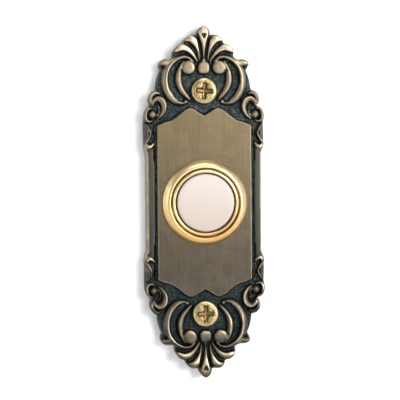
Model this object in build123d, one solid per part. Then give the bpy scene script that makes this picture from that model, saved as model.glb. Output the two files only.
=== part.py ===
"""Push-button door bell with a cast ornamental back plate.

Frame: the wall plane is XZ, the front faces -Y and +Z is up. The origin lies
on the wall plane, on the axis of the button.

Every piece is drawn in the face frame, with x to the right, y up and z out of
the wall, and placed() turns it into the frame above. Heights are therefore
distances in front of the wall, and negative heights are inside the wall.
Lengths are in millimetres.
"""

import math
import os

from build123d import *

# Back plate, a hollow-backed casting
end_reach = 19.25
plate_half_width = 18.0
waist_half_width = 17.35
field_height = 3.6
panel_height = 5.2
panel_draft = 14.0
rim_wall = 1.6
cavity_ceiling = 2.4
post_radius = 4.3
relief_root = -0.4
crest_inset = 0.22
crest_share = 0.5
head_sides = 5
rail_offset = 16.2
rail_drop = 17.55
rail_reeds = 3
rail_reed_pitch = 0.55
rail_reed_radius = 0.3

# Panel with bracket-shaped ends
panel_half_width = 13.65
panel_shoulder = 10.15
panel_cusp = 7.35

# Mounting screws, number 8 pan heads at 66.3 mm centres
screw_half_spacing = 33.15
screw_radius = 2.0
screw_clearance = 0.3
screw_neck = 1.8
thread_start = -0.2
screw_length = 25.4
screw_head_radius = 3.95
screw_head_height = 2.4
screw_point = 4.0
recess_span = 4.4
recess_width = 0.95
recess_depth = 1.5
recess_turn = 12

# Bezel ring with a threaded neck
bezel_radius = 12.65
bezel_edge = 0.5
crest_radius = 11.35
crest_height = 2.2
groove_radius = 10.15
groove_height = 1.25
bead_radius = 9.35
bead_height = 2.45
lip_bore = 8.9
lip_under = 4.6
neck_radius = 10.25
neck_wall = 0.5
neck_end = 0.1
rolled_edge = 0.5
rolled_bore = 8.6
neck_clearance = 0.1
nut_width = 2.85
nut_thickness = 1.2
nut_clearance = 0.04
nut_notches = 6

# Button cap
cap_clearance = 0.35
cap_face = 7.9
cap_round = 0.9
cap_crown = 1.6
cap_flange_clearance = 0.15
cap_flange = 0.8
sleeve_wall = 1.0
sleeve_end = -2.0
sleeve_clearance = 0.08
press_travel = 1.5
stop_margin = 0.1

# Switch housing, a barrel for a 5/8 in hole
flange_clearance = 0.1
barrel_radius = 7.75
barrel_wall = 0.85
barrel_end = -11.5
floor_thickness = 2.0
divider_width = 1.0
divider_height = 2.6

# Contacts and terminals
contact_inner = 4.7
contact_thickness = 0.4
contact_gap = 0.05
leaf_thickness = 0.3
leaf_width = 2.6
leaf_riser = 6.35
leaf_tip = 4.9
terminal_offset = 4.0
bush_radius = 1.1
bush_flange = 1.5
bush_flange_thickness = 0.4
bush_clearance = 0.05
terminal_radius = 0.8
terminal_head = 2.5
terminal_head_thickness = 1.5
washer_side = 4.6
washer_thickness = 0.6

# Return spring and lamp
spring_radius = 3.75
spring_wire = 0.22
spring_turns = 5
seat_margin = 0.6
seat_top = -7.0
seat_thickness = 0.6
holder_base = 1.9
socket_radius = 2.5
socket_bore = 1.6
socket_top = -5.0
lamp_clearance = 0.05
lamp_radius = 2.1
lamp_top = 1.2
lead_radius = 0.15
lead_offset = 0.8

# Derived radii and levels
neck_bore = neck_radius - neck_wall
nut_radius = neck_radius + nut_width
cap_radius = lip_bore - cap_clearance
cap_flange_radius = neck_bore - cap_flange_clearance
barrel_bore = barrel_radius - barrel_wall
seat_radius = spring_radius + seat_margin
lamp_base_radius = socket_bore - lamp_clearance
housing_face = lip_under - cap_flange - press_travel - stop_margin
housing_back = neck_end + rolled_edge
floor_top = barrel_end + floor_thickness
sleeve_radius = barrel_bore - sleeve_clearance
sleeve_bore = sleeve_radius - sleeve_wall
cap_under = cap_face - cap_crown
contact_face = sleeve_end - contact_thickness
leaf_top = contact_face - press_travel - contact_gap
bush_top = floor_top + leaf_thickness + bush_flange_thickness


def at(across, above):
    """Point of the upper end, measured from its fixing screw."""
    return (across, screw_half_spacing + above)


def placed(shape):
    """Turn a shape from the face frame into the part's own frame."""
    return Plane.XZ.location * shape


def four(shapes):
    """Repeat shapes of one quadrant in all four quadrants."""
    right = list(shapes)
    both = right + [mirror(shape, about=Plane.YZ) for shape in right]
    return both + [mirror(shape, about=Plane.XZ) for shape in both]


def outward(face):
    """The same face with its normal turned out of the wall."""
    return face if face.normal_at().Z > 0 else -face


def disc(radius, low, high):
    """Cylinder about the button axis between two heights."""
    return Pos(0, 0, low) * extrude(Circle(radius), high - low)


def drafted(face, height, draft):
    """Solid rising from a face of the wall plane with sides drawn in by draft."""
    solid = extrude(face, height, taper=draft)
    if solid.bounding_box().min.Z < -height / 2:
        solid = mirror(solid, about=Plane.XY)
    return solid


def drop_face(foot, head, foot_radius, head_radius, above):
    """Flat drop at a height above the field: a narrow foot and a round head."""
    start = Vector(foot[0], foot[1], field_height + above)
    along = Vector(head[0] - foot[0], head[1] - foot[1], 0)
    corners = [(0, foot_radius), (0, -foot_radius)]
    for step in range(head_sides + 1):
        angle = math.radians(-95 + 190 * step / head_sides)
        across = head_radius * math.sin(angle)
        corners.append((along.length + head_radius * math.cos(angle), across))
    plane = Plane(origin=start, x_dir=along, z_dir=(0, 0, 1))
    return plane.location * make_face(Polyline(*corners, close=True))


def lobe(foot, head, foot_radius, head_radius, above):
    """Drop-shaped boss, steep from the field and bevelled to a narrow crown."""
    sections = []
    for level, inset in ((relief_root, 1.0), (0.6 * above, 0.88), (above, 0.45)):
        sections.append(drop_face(foot, head, foot_radius * inset, head_radius * inset, level))
    return loft(sections, ruled=True)


def crescent_face(centre, radius, opening, horn, width, above):
    """Flat crescent at a height above the field, with its horns towards opening.

    The outer arc has the given radius and reaches the angle horn to each side
    of the back. The inner arc is shifted towards the opening so that the band
    is width across at the back and runs out to nothing at the horns.
    """
    reach = -radius * math.cos(math.radians(horn))
    half = radius * math.sin(math.radians(horn))
    inner = radius - width
    edges = [
        ThreePointArc((reach, half), (-radius, 0), (reach, -half)),
        ThreePointArc((reach, -half), (-inner, 0), (reach, half)),
    ]
    face = make_face(Curve() + edges)
    turn = Pos(centre[0], centre[1], field_height + above) * Rot(0, 0, opening)
    return turn * face


def crescent(centre, radius, opening, horn, width, above):
    """Tapered curved band with sloping sides and a narrow crest."""
    crest_radius_here = radius - crest_inset * width
    crest = crescent_face(centre, crest_radius_here, opening, horn, width * crest_share, above)
    return loft([crescent_face(centre, radius, opening, horn, width, relief_root), crest], ruled=True)


def plate_outline():
    """Outline of the casting: palmette ends, scroll shoulders, straight waist."""
    lobe_meet = at(2.1, 16.75)
    lobe_turn = at(6.4, 13.85)
    ear_neck = at(10.5, 9.15)
    ear_foot = at(12.9, 6.15)
    scroll_corner = at(14.3, 0.25)
    hook_corner = at(15.9, -4.35)
    shoulder_top = at(plate_half_width, -8.15)
    shoulder_end = at(plate_half_width, -16.25)
    waist_top = at(waist_half_width, -18.75)
    edges = [
        ThreePointArc(at(0, end_reach), at(1.3, end_reach - 0.9), lobe_meet),
        ThreePointArc(lobe_meet, at(4.9, 15.95), lobe_turn),
        ThreePointArc(lobe_turn, at(8.5, 12.55), at(9.2, 10.15)),
        ThreePointArc(at(9.2, 10.15), at(9.6, 9.45), ear_neck),
        ThreePointArc(ear_neck, at(12.9, 8.75), ear_foot),
        ThreePointArc(ear_foot, at(13.9, 3.35), scroll_corner),
        ThreePointArc(scroll_corner, at(16.3, -1.55), hook_corner),
        ThreePointArc(hook_corner, at(plate_half_width - 0.6, -5.75), shoulder_top),
        Line(shoulder_top, shoulder_end),
        ThreePointArc(shoulder_end, at(plate_half_width - 0.3, -17.75), waist_top),
        Line(waist_top, (waist_half_width, 0)),
    ]
    quarter = Curve() + edges
    half = quarter + mirror(quarter, about=Plane.XZ)
    return outward(make_face(half + mirror(half, about=Plane.YZ)).face())


def panel_outline():
    """Outline of the raised panel, each end drawn up into a cusped bracket."""
    corner = at(panel_half_width, -panel_shoulder)
    hip = at(5.1, -6.05)
    edges = [
        Line((panel_half_width, 0), corner),
        ThreePointArc(corner, at(8.9, -9.15), hip),
        ThreePointArc(hip, at(2.9, -5.45), at(0, -panel_cusp)),
    ]
    quarter = Curve() + edges
    half = quarter + mirror(quarter, about=Plane.XZ)
    return outward(make_face(half + mirror(half, about=Plane.YZ)).face())


def palmette():
    """Fan of lobes over a bud: those on the centre line, then the others."""
    centre = [
        lobe(at(0, 9.75), at(0, 17.05), 0.6, 1.9, 1.8),
        lobe(at(-1.7, 8.85), at(1.2, 8.85), 0.5, 0.5, 1.2),
        lobe(at(0, 4.75), at(0, 6.65), 1.2, 1.9, 1.7),
    ]
    side = [
        lobe(at(1.3, 9.85), at(3.65, 14.55), 0.6, 1.85, 1.7),
        lobe(at(1.9, 9.45), at(6.5, 11.75), 0.6, 1.9, 1.6),
    ]
    return centre, side


def shoulder_scroll():
    """C-scroll of the shoulder, its inner leaf, its volutes and its ear leaf."""
    return [
        crescent(at(5.9, 2.55), 6.95, 180, 105, 1.8, 2.0),
        crescent(at(1.3, 3.05), 7.1, 190, 56, 1.9, 1.5),
        lobe(at(3.6, 7.35), at(5.0, 6.85), 1.2, 1.9, 2.1),
        lobe(at(5.9, -3.95), at(4.2, -3.45), 0.7, 0.95, 1.3),
        lobe(at(8.8, 6.15), at(12.0, 7.75), 0.9, 1.05, 1.5),
    ]


def hook_scroll():
    """Small hooked scroll at the panel corner and the leaf above the rail."""
    return [
        crescent(at(13.8, -4.75), 3.0, -30, 135, 1.3, 1.7),
        lobe(at(12.6, -7.25), at(15.1, -9.75), 0.6, 0.95, 1.3),
        lobe(at(14.6, -5.35), at(15.0, -6.55), 0.7, 1.4, 2.0),
        lobe(at(12.9, -0.75), at(14.7, -1.45), 0.6, 1.2, 1.4),
        lobe(at(16.4, -8.75), at(16.5, -14.65), 1.2, 0.9, 1.5),
    ]


def rail():
    """Upright moulding beside the panel: a core with reeds around it."""
    length = 2 * (screw_half_spacing - rail_drop)
    pieces = [Pos(rail_offset, 0, field_height) * Box(1.5, length, 1.4)]
    for step in range(rail_reeds):
        across = rail_offset + (step - (rail_reeds - 1) / 2) * rail_reed_pitch
        reed = Rot(90, 0, 0) * Cylinder(rail_reed_radius, length)
        pieces.append(Pos(across, 0, field_height + 0.7) * reed)
    return pieces


def relief():
    """All raised ornament, drawn once for a quarter and mirrored."""
    centre, side = palmette()
    top = screw_half_spacing - rail_drop
    collar = Pos(rail_offset, top + 0.7, field_height + 0.3) * Box(2.3, 1.4, 2.0)
    quarter = joined(shoulder_scroll() + hook_scroll() + side + [collar])
    strip = joined(rail())
    ends = centre + [mirror(shape, about=Plane.XZ) for shape in centre]
    return four([quarter]) + ends + [strip, mirror(strip, about=Plane.YZ)]


def joined(shapes):
    """One solid or compound made from shapes, added one after another."""
    result = shapes[0]
    for shape in shapes[1:]:
        result = result.fuse(shape)
    return result


def cavity_outline():
    """Inside line of the rim, a smoothed copy of the outline."""
    palmette_foot = at(8.0, 7.85)
    scroll_side = at(12.3, 0.25)
    waist = waist_half_width - rim_wall
    edges = [
        ThreePointArc(at(0, end_reach - 2.4), at(5.6, 13.45), palmette_foot),
        ThreePointArc(palmette_foot, at(11.2, 4.45), scroll_side),
        ThreePointArc(scroll_side, at((scroll_side[0] + waist) / 2 - 0.5, -4.85), at(waist, -8.55)),
        Line(at(waist, -8.55), (waist, 0)),
    ]
    quarter = Curve() + edges
    half = quarter + mirror(quarter, about=Plane.XZ)
    return outward(make_face(half + mirror(half, about=Plane.YZ)).face())


def back_plate():
    """Hollow-backed casting with its relief, screw holes and button hole."""
    body = extrude(plate_outline(), field_height)
    panel = Pos(0, 0, cavity_ceiling) * drafted(
        panel_outline(), panel_height - cavity_ceiling, panel_draft
    )
    casting = joined([body, panel] + relief())
    cavity = Pos(0, 0, -10) * extrude(cavity_outline(), cavity_ceiling + 10)
    posts = []
    holes = []
    for side in (1, -1):
        centre = Pos(0, side * screw_half_spacing, 0)
        posts.append(centre * disc(post_radius, -20, 20))
        holes.append(centre * disc(screw_radius + screw_clearance, -1, panel_height))
    button_hole = disc(neck_radius + neck_clearance, -1, 9)
    below = Pos(0, 0, -20) * Box(60, 130, 40)
    return casting.cut(cavity.cut(*posts), below, button_hole, *holes)


def turned(edges):
    """Solid of revolution about the button axis from edges drawn as (r, z)."""
    profile = make_face(Curve() + edges)
    upright = Plane.XZ.location * profile
    return revolve(upright, axis=Axis.Z)


def ring_of(inner, outer, low, high):
    """Flat ring about the button axis between two heights."""
    return Pos(0, 0, low) * extrude(Circle(outer) - Circle(inner), high - low)


def bezel_ring():
    """Spun ring: convex crest, groove, raised bead, and a neck with a rolled edge."""
    base = panel_height
    crest_inner = crest_radius - 0.45
    bead_outer = bead_radius + 0.4
    lip_top = base + bead_height - 0.25
    edges = [
        Line((bezel_radius, base), (bezel_radius, base + bezel_edge)),
        Line((bezel_radius, base + bezel_edge), (crest_radius + 0.7, base + 0.8 * crest_height)),
        Line((crest_radius + 0.7, base + 0.8 * crest_height), (crest_radius, base + crest_height)),
        Line((crest_radius, base + crest_height), (crest_inner, base + crest_height)),
        Line((crest_inner, base + crest_height), (groove_radius, base + groove_height)),
        Line((groove_radius, base + groove_height), (bead_outer, base + groove_height)),
        Line((bead_outer, base + groove_height), (bead_radius + 0.2, base + bead_height)),
        Line((bead_radius + 0.2, base + bead_height), (bead_radius - 0.2, base + bead_height)),
        Line((bead_radius - 0.2, base + bead_height), (lip_bore, lip_top)),
        Line((lip_bore, lip_top), (lip_bore, lip_under)),
        Line((lip_bore, lip_under), (neck_bore, lip_under)),
        Line((neck_bore, lip_under), (neck_bore, housing_back)),
        Line((neck_bore, housing_back), (rolled_bore, housing_back)),
        Line((rolled_bore, housing_back), (rolled_bore, neck_end)),
        Line((rolled_bore, neck_end), (neck_radius, neck_end)),
        Line((neck_radius, neck_end), (neck_radius, base)),
        Line((neck_radius, base), (bezel_radius, base)),
    ]
    return turned(edges)


def retaining_nut():
    """Ring nut on the neck, drawn up against the inside of the plate."""
    low = cavity_ceiling - nut_thickness
    nut = ring_of(neck_radius + nut_clearance, nut_radius, low, cavity_ceiling)
    for index in range(nut_notches):
        notch = Pos(nut_radius, 0, low + nut_thickness / 2) * Box(1.4, 2.2, 2 * nut_thickness)
        nut = nut.cut(Rot(0, 0, index * 360 / nut_notches + 30) * notch)
    return nut


def button_cap():
    """Cap with a rounded edge, a retaining flange and a hollow sleeve."""
    flange_top = lip_under
    flange_low = lip_under - cap_flange
    bend = cap_round * (1 - math.sqrt(0.5))
    edges = [
        Line((0, cap_face), (cap_radius - cap_round, cap_face)),
        Line((cap_radius - cap_round, cap_face), (cap_radius - bend, cap_face - bend)),
        Line((cap_radius - bend, cap_face - bend), (cap_radius, cap_face - cap_round)),
        Line((cap_radius, cap_face - cap_round), (cap_radius, flange_top)),
        Line((cap_radius, flange_top), (cap_flange_radius, flange_top)),
        Line((cap_flange_radius, flange_top), (cap_flange_radius, flange_low)),
        Line((cap_flange_radius, flange_low), (sleeve_radius, flange_low)),
        Line((sleeve_radius, flange_low), (sleeve_radius, sleeve_end)),
        Line((sleeve_radius, sleeve_end), (sleeve_bore, sleeve_end)),
        Line((sleeve_bore, sleeve_end), (sleeve_bore, cap_under)),
        Line((sleeve_bore, cap_under), (0, cap_under)),
        Line((0, cap_under), (0, cap_face)),
    ]
    return turned(edges)


def switch_housing():
    """Flanged barrel with a floor, two terminal holes and a rear divider."""
    barrel = disc(barrel_radius, barrel_end, housing_back)
    flange = disc(neck_bore - flange_clearance, housing_back, housing_face)
    shell = barrel.fuse(flange).cut(disc(barrel_bore, floor_top, housing_face + 1))
    divider = Pos(0, 0, barrel_end - divider_height / 2) * Box(
        divider_width, 2 * barrel_radius * 0.86, divider_height
    )
    shell = shell.fuse(divider)
    holes = []
    for side in (1, -1):
        hole = disc(bush_radius + bush_clearance, barrel_end - 1, floor_top + 1)
        holes.append(Pos(side * terminal_offset, 0, 0) * hole)
    return shell.cut(*holes)


def contact_ring():
    """Flat ring under the sleeve that bridges the two leaves."""
    return ring_of(contact_inner, sleeve_radius - 0.15, contact_face, sleeve_end)


def contact_leaf():
    """Bent strip on the housing floor, its tip just below the contact ring."""
    foot_start = terminal_offset - bush_flange + 0.2
    path = Polyline(
        (foot_start, floor_top + leaf_thickness / 2),
        (leaf_riser, floor_top + leaf_thickness / 2),
        (leaf_riser, leaf_top - 1.0),
        (leaf_tip, leaf_top - leaf_thickness),
    )
    strip = trace(path, line_width=leaf_thickness)
    leaf = Plane.XZ.location * extrude(strip, leaf_width / 2, both=True)
    hole = disc(bush_radius + bush_clearance, floor_top - 1, floor_top + 1)
    return leaf.cut(Pos(terminal_offset, 0, 0) * hole)


def terminal_bush():
    """Flanged bush that clamps the leaf to the floor and takes the screw."""
    shank = disc(bush_radius, barrel_end, bush_top)
    flange = disc(bush_flange, floor_top + leaf_thickness, bush_top)
    bore = disc(terminal_radius + bush_clearance, barrel_end - 1, bush_top + 1)
    return Pos(terminal_offset, 0, 0) * shank.fuse(flange).cut(bore)


def clamp_washer():
    """Square washer between the barrel end and the terminal screw head."""
    low = barrel_end - washer_thickness
    plate = Pos(0, 0, low + washer_thickness / 2) * Box(washer_side, washer_side, washer_thickness)
    hole = disc(terminal_radius + 2 * bush_clearance, low - 1, barrel_end + 1)
    return Pos(terminal_offset, 0, 0) * plate.cut(hole)


def terminal_screw():
    """Slotted terminal screw, entered from behind."""
    head_top = barrel_end - washer_thickness
    head_low = head_top - terminal_head_thickness
    head = disc(terminal_head, head_low, head_top)
    shank = disc(terminal_radius, head_top, bush_top - 0.2)
    slot = Pos(0, 0, head_low) * Box(2 * terminal_head + 1, 0.7, 1.4)
    return Pos(terminal_offset, 0, 0) * head.fuse(shank).cut(slot)


def return_spring():
    """Compression coil of square wire between the lamp holder and the cap."""
    wire = 2 * spring_wire
    start = seat_top + spring_wire
    rise = cap_under - spring_wire - start
    path = Helix(rise / spring_turns, rise, spring_radius)
    section = Plane(origin=path @ 0, z_dir=path % 0) * Rectangle(wire, wire)
    return Pos(0, 0, start) * sweep(section, path=path, is_frenet=True)


def lamp_holder():
    """Turned holder: foot on the floor, spring seat and lamp socket."""
    base = disc(holder_base, floor_top, seat_top)
    seat = disc(seat_radius, seat_top - seat_thickness, seat_top)
    socket = disc(socket_radius, seat_top, socket_top)
    holder = base.fuse(seat, socket)
    holder = holder.cut(disc(socket_bore, seat_top, socket_top + 1))
    width = 2 * (lead_radius + bush_clearance)
    passages = []
    for side in (1, -1):
        lead = disc(width / 2, floor_top + 0.3, seat_top + 1)
        passages.append(Pos(side * lead_offset, 0, 0) * lead)
    height = bush_top + width - floor_top
    slot = Pos(0, 0, floor_top + height / 2) * Box(3 * holder_base, width, height)
    return holder.cut(*passages, slot)


def lamp_bulb():
    """Small lamp: base in the socket, glass envelope with a round top."""
    shoulder = lamp_top - lamp_radius * 0.6
    crown = lamp_radius * 0.5
    edges = [
        Line((0, seat_top), (lamp_base_radius, seat_top)),
        Line((lamp_base_radius, seat_top), (lamp_base_radius, socket_top)),
        Line((lamp_base_radius, socket_top), (lamp_radius, socket_top)),
        Line((lamp_radius, socket_top), (lamp_radius, shoulder)),
        Line((lamp_radius, shoulder), (crown, lamp_top)),
        Line((crown, lamp_top), (0, lamp_top)),
        Line((0, lamp_top), (0, seat_top)),
    ]
    return turned(edges)


def lamp_lead():
    """Wire from the lamp down through the holder and out to the bush."""
    level = bush_top + lead_radius
    upright = Pos(lead_offset, 0, 0) * disc(lead_radius, level - lead_radius, seat_top)
    run = terminal_offset - bush_radius - lead_offset
    across = Rot(0, 90, 0) * disc(lead_radius, 0, run)
    return upright.fuse(Pos(lead_offset, 0, level) * across)


def mounting_screw():
    """Pan-head wood screw with a cross recess and a plain tapered point."""
    seat = field_height
    top = seat + screw_head_height
    tip = seat - screw_length
    edges = [
        Line((0, top), (1.6, top)),
        Line((1.6, top), (screw_head_radius - 0.8, top - 0.55)),
        Line((screw_head_radius - 0.8, top - 0.55), (screw_head_radius, seat + 0.6)),
        Line((screw_head_radius, seat + 0.6), (screw_head_radius, seat)),
        Line((screw_head_radius, seat), (screw_neck, seat)),
        Line((screw_neck, seat), (screw_neck, thread_start)),
        Line((screw_neck, thread_start), (screw_radius, thread_start)),
        Line((screw_radius, thread_start), (screw_radius, tip + screw_point)),
        Line((screw_radius, tip + screw_point), (0, tip)),
        Line((0, tip), (0, top)),
    ]
    screw = turned(edges)
    for angle in (0, 90):
        arm = Box(recess_span, recess_width, 2 * recess_depth)
        screw = screw.cut(Pos(0, 0, top) * Rot(0, 0, angle + recess_turn) * arm)
    return Pos(0, screw_half_spacing, 0) * screw


def pair(name, shape, about, names):
    """Two mirrored copies of a shape under the names of their sides."""
    other = mirror(shape, about=about)
    return {name + "_" + names[0]: other, name + "_" + names[1]: shape}


def build():
    """Every node of the door bell by name, in the face frame."""
    nodes = {
        "plate": back_plate(),
        "bezel_ring": bezel_ring(),
        "retaining_nut": retaining_nut(),
        "button_cap": button_cap(),
        "contact_ring": contact_ring(),
        "return_spring": return_spring(),
        "switch_housing": switch_housing(),
        "lamp_holder": lamp_holder(),
        "lamp_bulb": lamp_bulb(),
    }
    left_right = ("left", "right")
    nodes.update(pair("contact_leaf", contact_leaf(), Plane.YZ, left_right))
    nodes.update(pair("terminal_bush", terminal_bush(), Plane.YZ, left_right))
    nodes.update(pair("terminal_screw", terminal_screw(), Plane.YZ, left_right))
    nodes.update(pair("clamp_washer", clamp_washer(), Plane.YZ, left_right))
    nodes.update(pair("lamp_lead", lamp_lead(), Plane.YZ, left_right))
    nodes.update(pair("mounting_screw", mounting_screw(), Plane.XZ, ("lower", "upper")))
    return nodes


def main():
    """Write one STEP file for each node."""
    os.makedirs("parts", exist_ok=True)
    for name, shape in build().items():
        export_step(placed(shape), "parts/" + name + ".step")


main()
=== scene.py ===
"""Looks of a push-button door bell with a cast ornamental back plate.

Row frame: the wall plane is XZ, the front faces -Y and +Z is up. The relief is
drawn in the face frame, in millimetres: x across, y up, and height in front of
the wall. The function row_point turns a face-frame point into metres.
"""

import logging
import math
from collections.abc import Callable
from dataclasses import dataclass, field
from enum import Enum

import bpy
import numpy as np
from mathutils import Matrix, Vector
from mathutils.geometry import delaunay_2d_cdt


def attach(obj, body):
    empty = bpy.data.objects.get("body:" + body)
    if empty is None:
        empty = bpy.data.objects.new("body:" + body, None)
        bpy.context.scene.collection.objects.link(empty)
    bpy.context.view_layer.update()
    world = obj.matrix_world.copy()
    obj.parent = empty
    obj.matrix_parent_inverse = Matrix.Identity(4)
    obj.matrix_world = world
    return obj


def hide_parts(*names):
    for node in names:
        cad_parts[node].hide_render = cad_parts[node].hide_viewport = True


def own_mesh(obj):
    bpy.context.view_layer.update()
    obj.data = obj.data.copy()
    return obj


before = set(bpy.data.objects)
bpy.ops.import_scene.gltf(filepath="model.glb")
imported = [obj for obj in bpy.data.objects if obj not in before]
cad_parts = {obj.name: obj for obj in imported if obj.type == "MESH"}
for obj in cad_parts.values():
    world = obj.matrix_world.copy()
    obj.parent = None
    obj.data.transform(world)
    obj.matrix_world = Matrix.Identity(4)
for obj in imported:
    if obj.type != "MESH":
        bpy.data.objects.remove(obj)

MM = 0.001
FULL_TURN = 2 * math.pi
POLE_WELD = 0.002
SEAM_WELD = 0.001
EDGE_WELD = 0.004
BORE_CORNERS = 40
TINY = 1e-12
FAR = 1e9
LOG = logging.getLogger("door_bell")
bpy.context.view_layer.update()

Point2 = tuple[float, float]
Point3 = tuple[float, float, float]
Colour = tuple[float, float, float]
Socket = bpy.types.NodeSocket
Levels = np.ndarray | float


def row_point(across: float, up: float, height: float) -> Point3:
    """Point of the row frame, in metres, from face-frame millimetres."""
    return (across * MM, -height * MM, up * MM)


def deselect_all() -> None:
    """Leave nothing selected and no mesh in edit mode."""
    if bpy.context.object and bpy.context.object.mode != "OBJECT":
        bpy.ops.object.mode_set(mode="OBJECT")
    bpy.ops.object.select_all(action="DESELECT")


def activate(piece: bpy.types.Object) -> None:
    """Select one object alone and make it the active one.

    Args:
        piece: the object.
    """
    deselect_all()
    piece.select_set(True)
    bpy.context.view_layer.objects.active = piece


def apply_modifier(piece: bpy.types.Object, kind: str, **settings: object) -> None:
    """Add a modifier with settings to a piece and apply it.

    Args:
        piece: the mesh object.
        kind: the modifier's type, such as BEVEL.
        settings: values of the modifier's properties by name.
    """
    activate(piece)
    modifier = piece.modifiers.new(kind.lower(), kind)
    for name, value in settings.items():
        setattr(modifier, name, value)
    bpy.ops.object.modifier_apply(modifier=modifier.name)


def lone_vertex(name: str, place: Point3) -> bpy.types.Object:
    """Start a line: a small plane merged to one selected vertex.

    Args:
        name: the object's name.
        place: where the vertex lies, in metres.

    Returns:
        The object, left in edit mode.
    """
    deselect_all()
    bpy.ops.mesh.primitive_plane_add(size=MM, location=place)
    piece = bpy.context.object
    piece.name = name
    bpy.ops.object.mode_set(mode="EDIT")
    bpy.ops.mesh.select_mode(type="VERT")
    bpy.ops.mesh.select_all(action="SELECT")
    bpy.ops.mesh.merge(type="CENTER")
    return piece


def points_of(piece: bpy.types.Object) -> np.ndarray:
    """Read the places of a piece's vertices.

    Args:
        piece: the mesh object.

    Returns:
        One row for each vertex, in metres.
    """
    co = np.zeros(len(piece.data.vertices) * 3, np.float32)
    piece.data.vertices.foreach_get("co", co)
    return co.reshape(-1, 3)


def move_points(piece: bpy.types.Object, places: np.ndarray) -> None:
    """Give a piece's vertices new places, in metres."""
    piece.data.vertices.foreach_set("co", np.ascontiguousarray(places).ravel())
    piece.data.update()


def settle(piece: bpy.types.Object, smooth_angle: float = 35.0) -> bpy.types.Object:
    """Put a finished piece's object at the origin and smooth its shading.

    Args:
        piece: the mesh object, anywhere.
        smooth_angle: edges sharper than this many degrees stay crisp.

    Returns:
        The same object, with its place in its mesh.
    """
    activate(piece)
    bpy.ops.object.transform_apply(location=True, rotation=True, scale=True)
    bpy.ops.object.shade_smooth_by_angle(angle=math.radians(smooth_angle))
    deselect_all()
    return piece


def arc(centre: Point2, radii: Point2, start: float, end: float, steps: int) -> list[Point2]:
    """Points of an elliptic arc, both ends included.

    Args:
        centre: middle of the ellipse.
        radii: its two half axes.
        start: first angle in degrees.
        end: last angle in degrees.
        steps: number of runs that the arc has.

    Returns:
        The points in order.
    """
    points = []
    for index in range(steps + 1):
        angle = math.radians(start + (end - start) * index / steps)
        points.append((centre[0] + radii[0] * math.cos(angle), centre[1] + radii[1] * math.sin(angle)))
    return points


@dataclass
class Turning:
    """A turned solid: a profile of (radius, height) swept about an axis."""

    name: str
    profile: list[Point2]
    centre: Point2 = (0.0, 0.0)
    steps: int = 96
    closed_ring: bool = False

    def build(self) -> bpy.types.Object:
        """Draw the profile by extruding one vertex, then spin it.

        Returns:
            The turned mesh object, with its normals outward.
        """
        across, up = self.centre
        points = list(self.profile)
        if self.closed_ring:
            points.append(points[0])
        radius, height = points[0]
        piece = lone_vertex(self.name, row_point(across + radius, up, height))
        for (r0, h0), (r1, h1) in zip(points, points[1:]):
            step = ((r1 - r0) * MM, -(h1 - h0) * MM, 0.0)
            bpy.ops.mesh.extrude_region_move(TRANSFORM_OT_translate={"value": step})
        bpy.ops.mesh.select_all(action="SELECT")
        bpy.ops.mesh.spin(
            steps=self.steps,
            angle=FULL_TURN,
            center=row_point(across, up, 0.0),
            axis=(0.0, 1.0, 0.0),
        )
        bpy.ops.mesh.select_all(action="SELECT")
        bpy.ops.mesh.remove_doubles(threshold=POLE_WELD * MM)
        bpy.ops.mesh.normals_make_consistent(inside=False)
        bpy.ops.object.mode_set(mode="OBJECT")
        return piece


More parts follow.
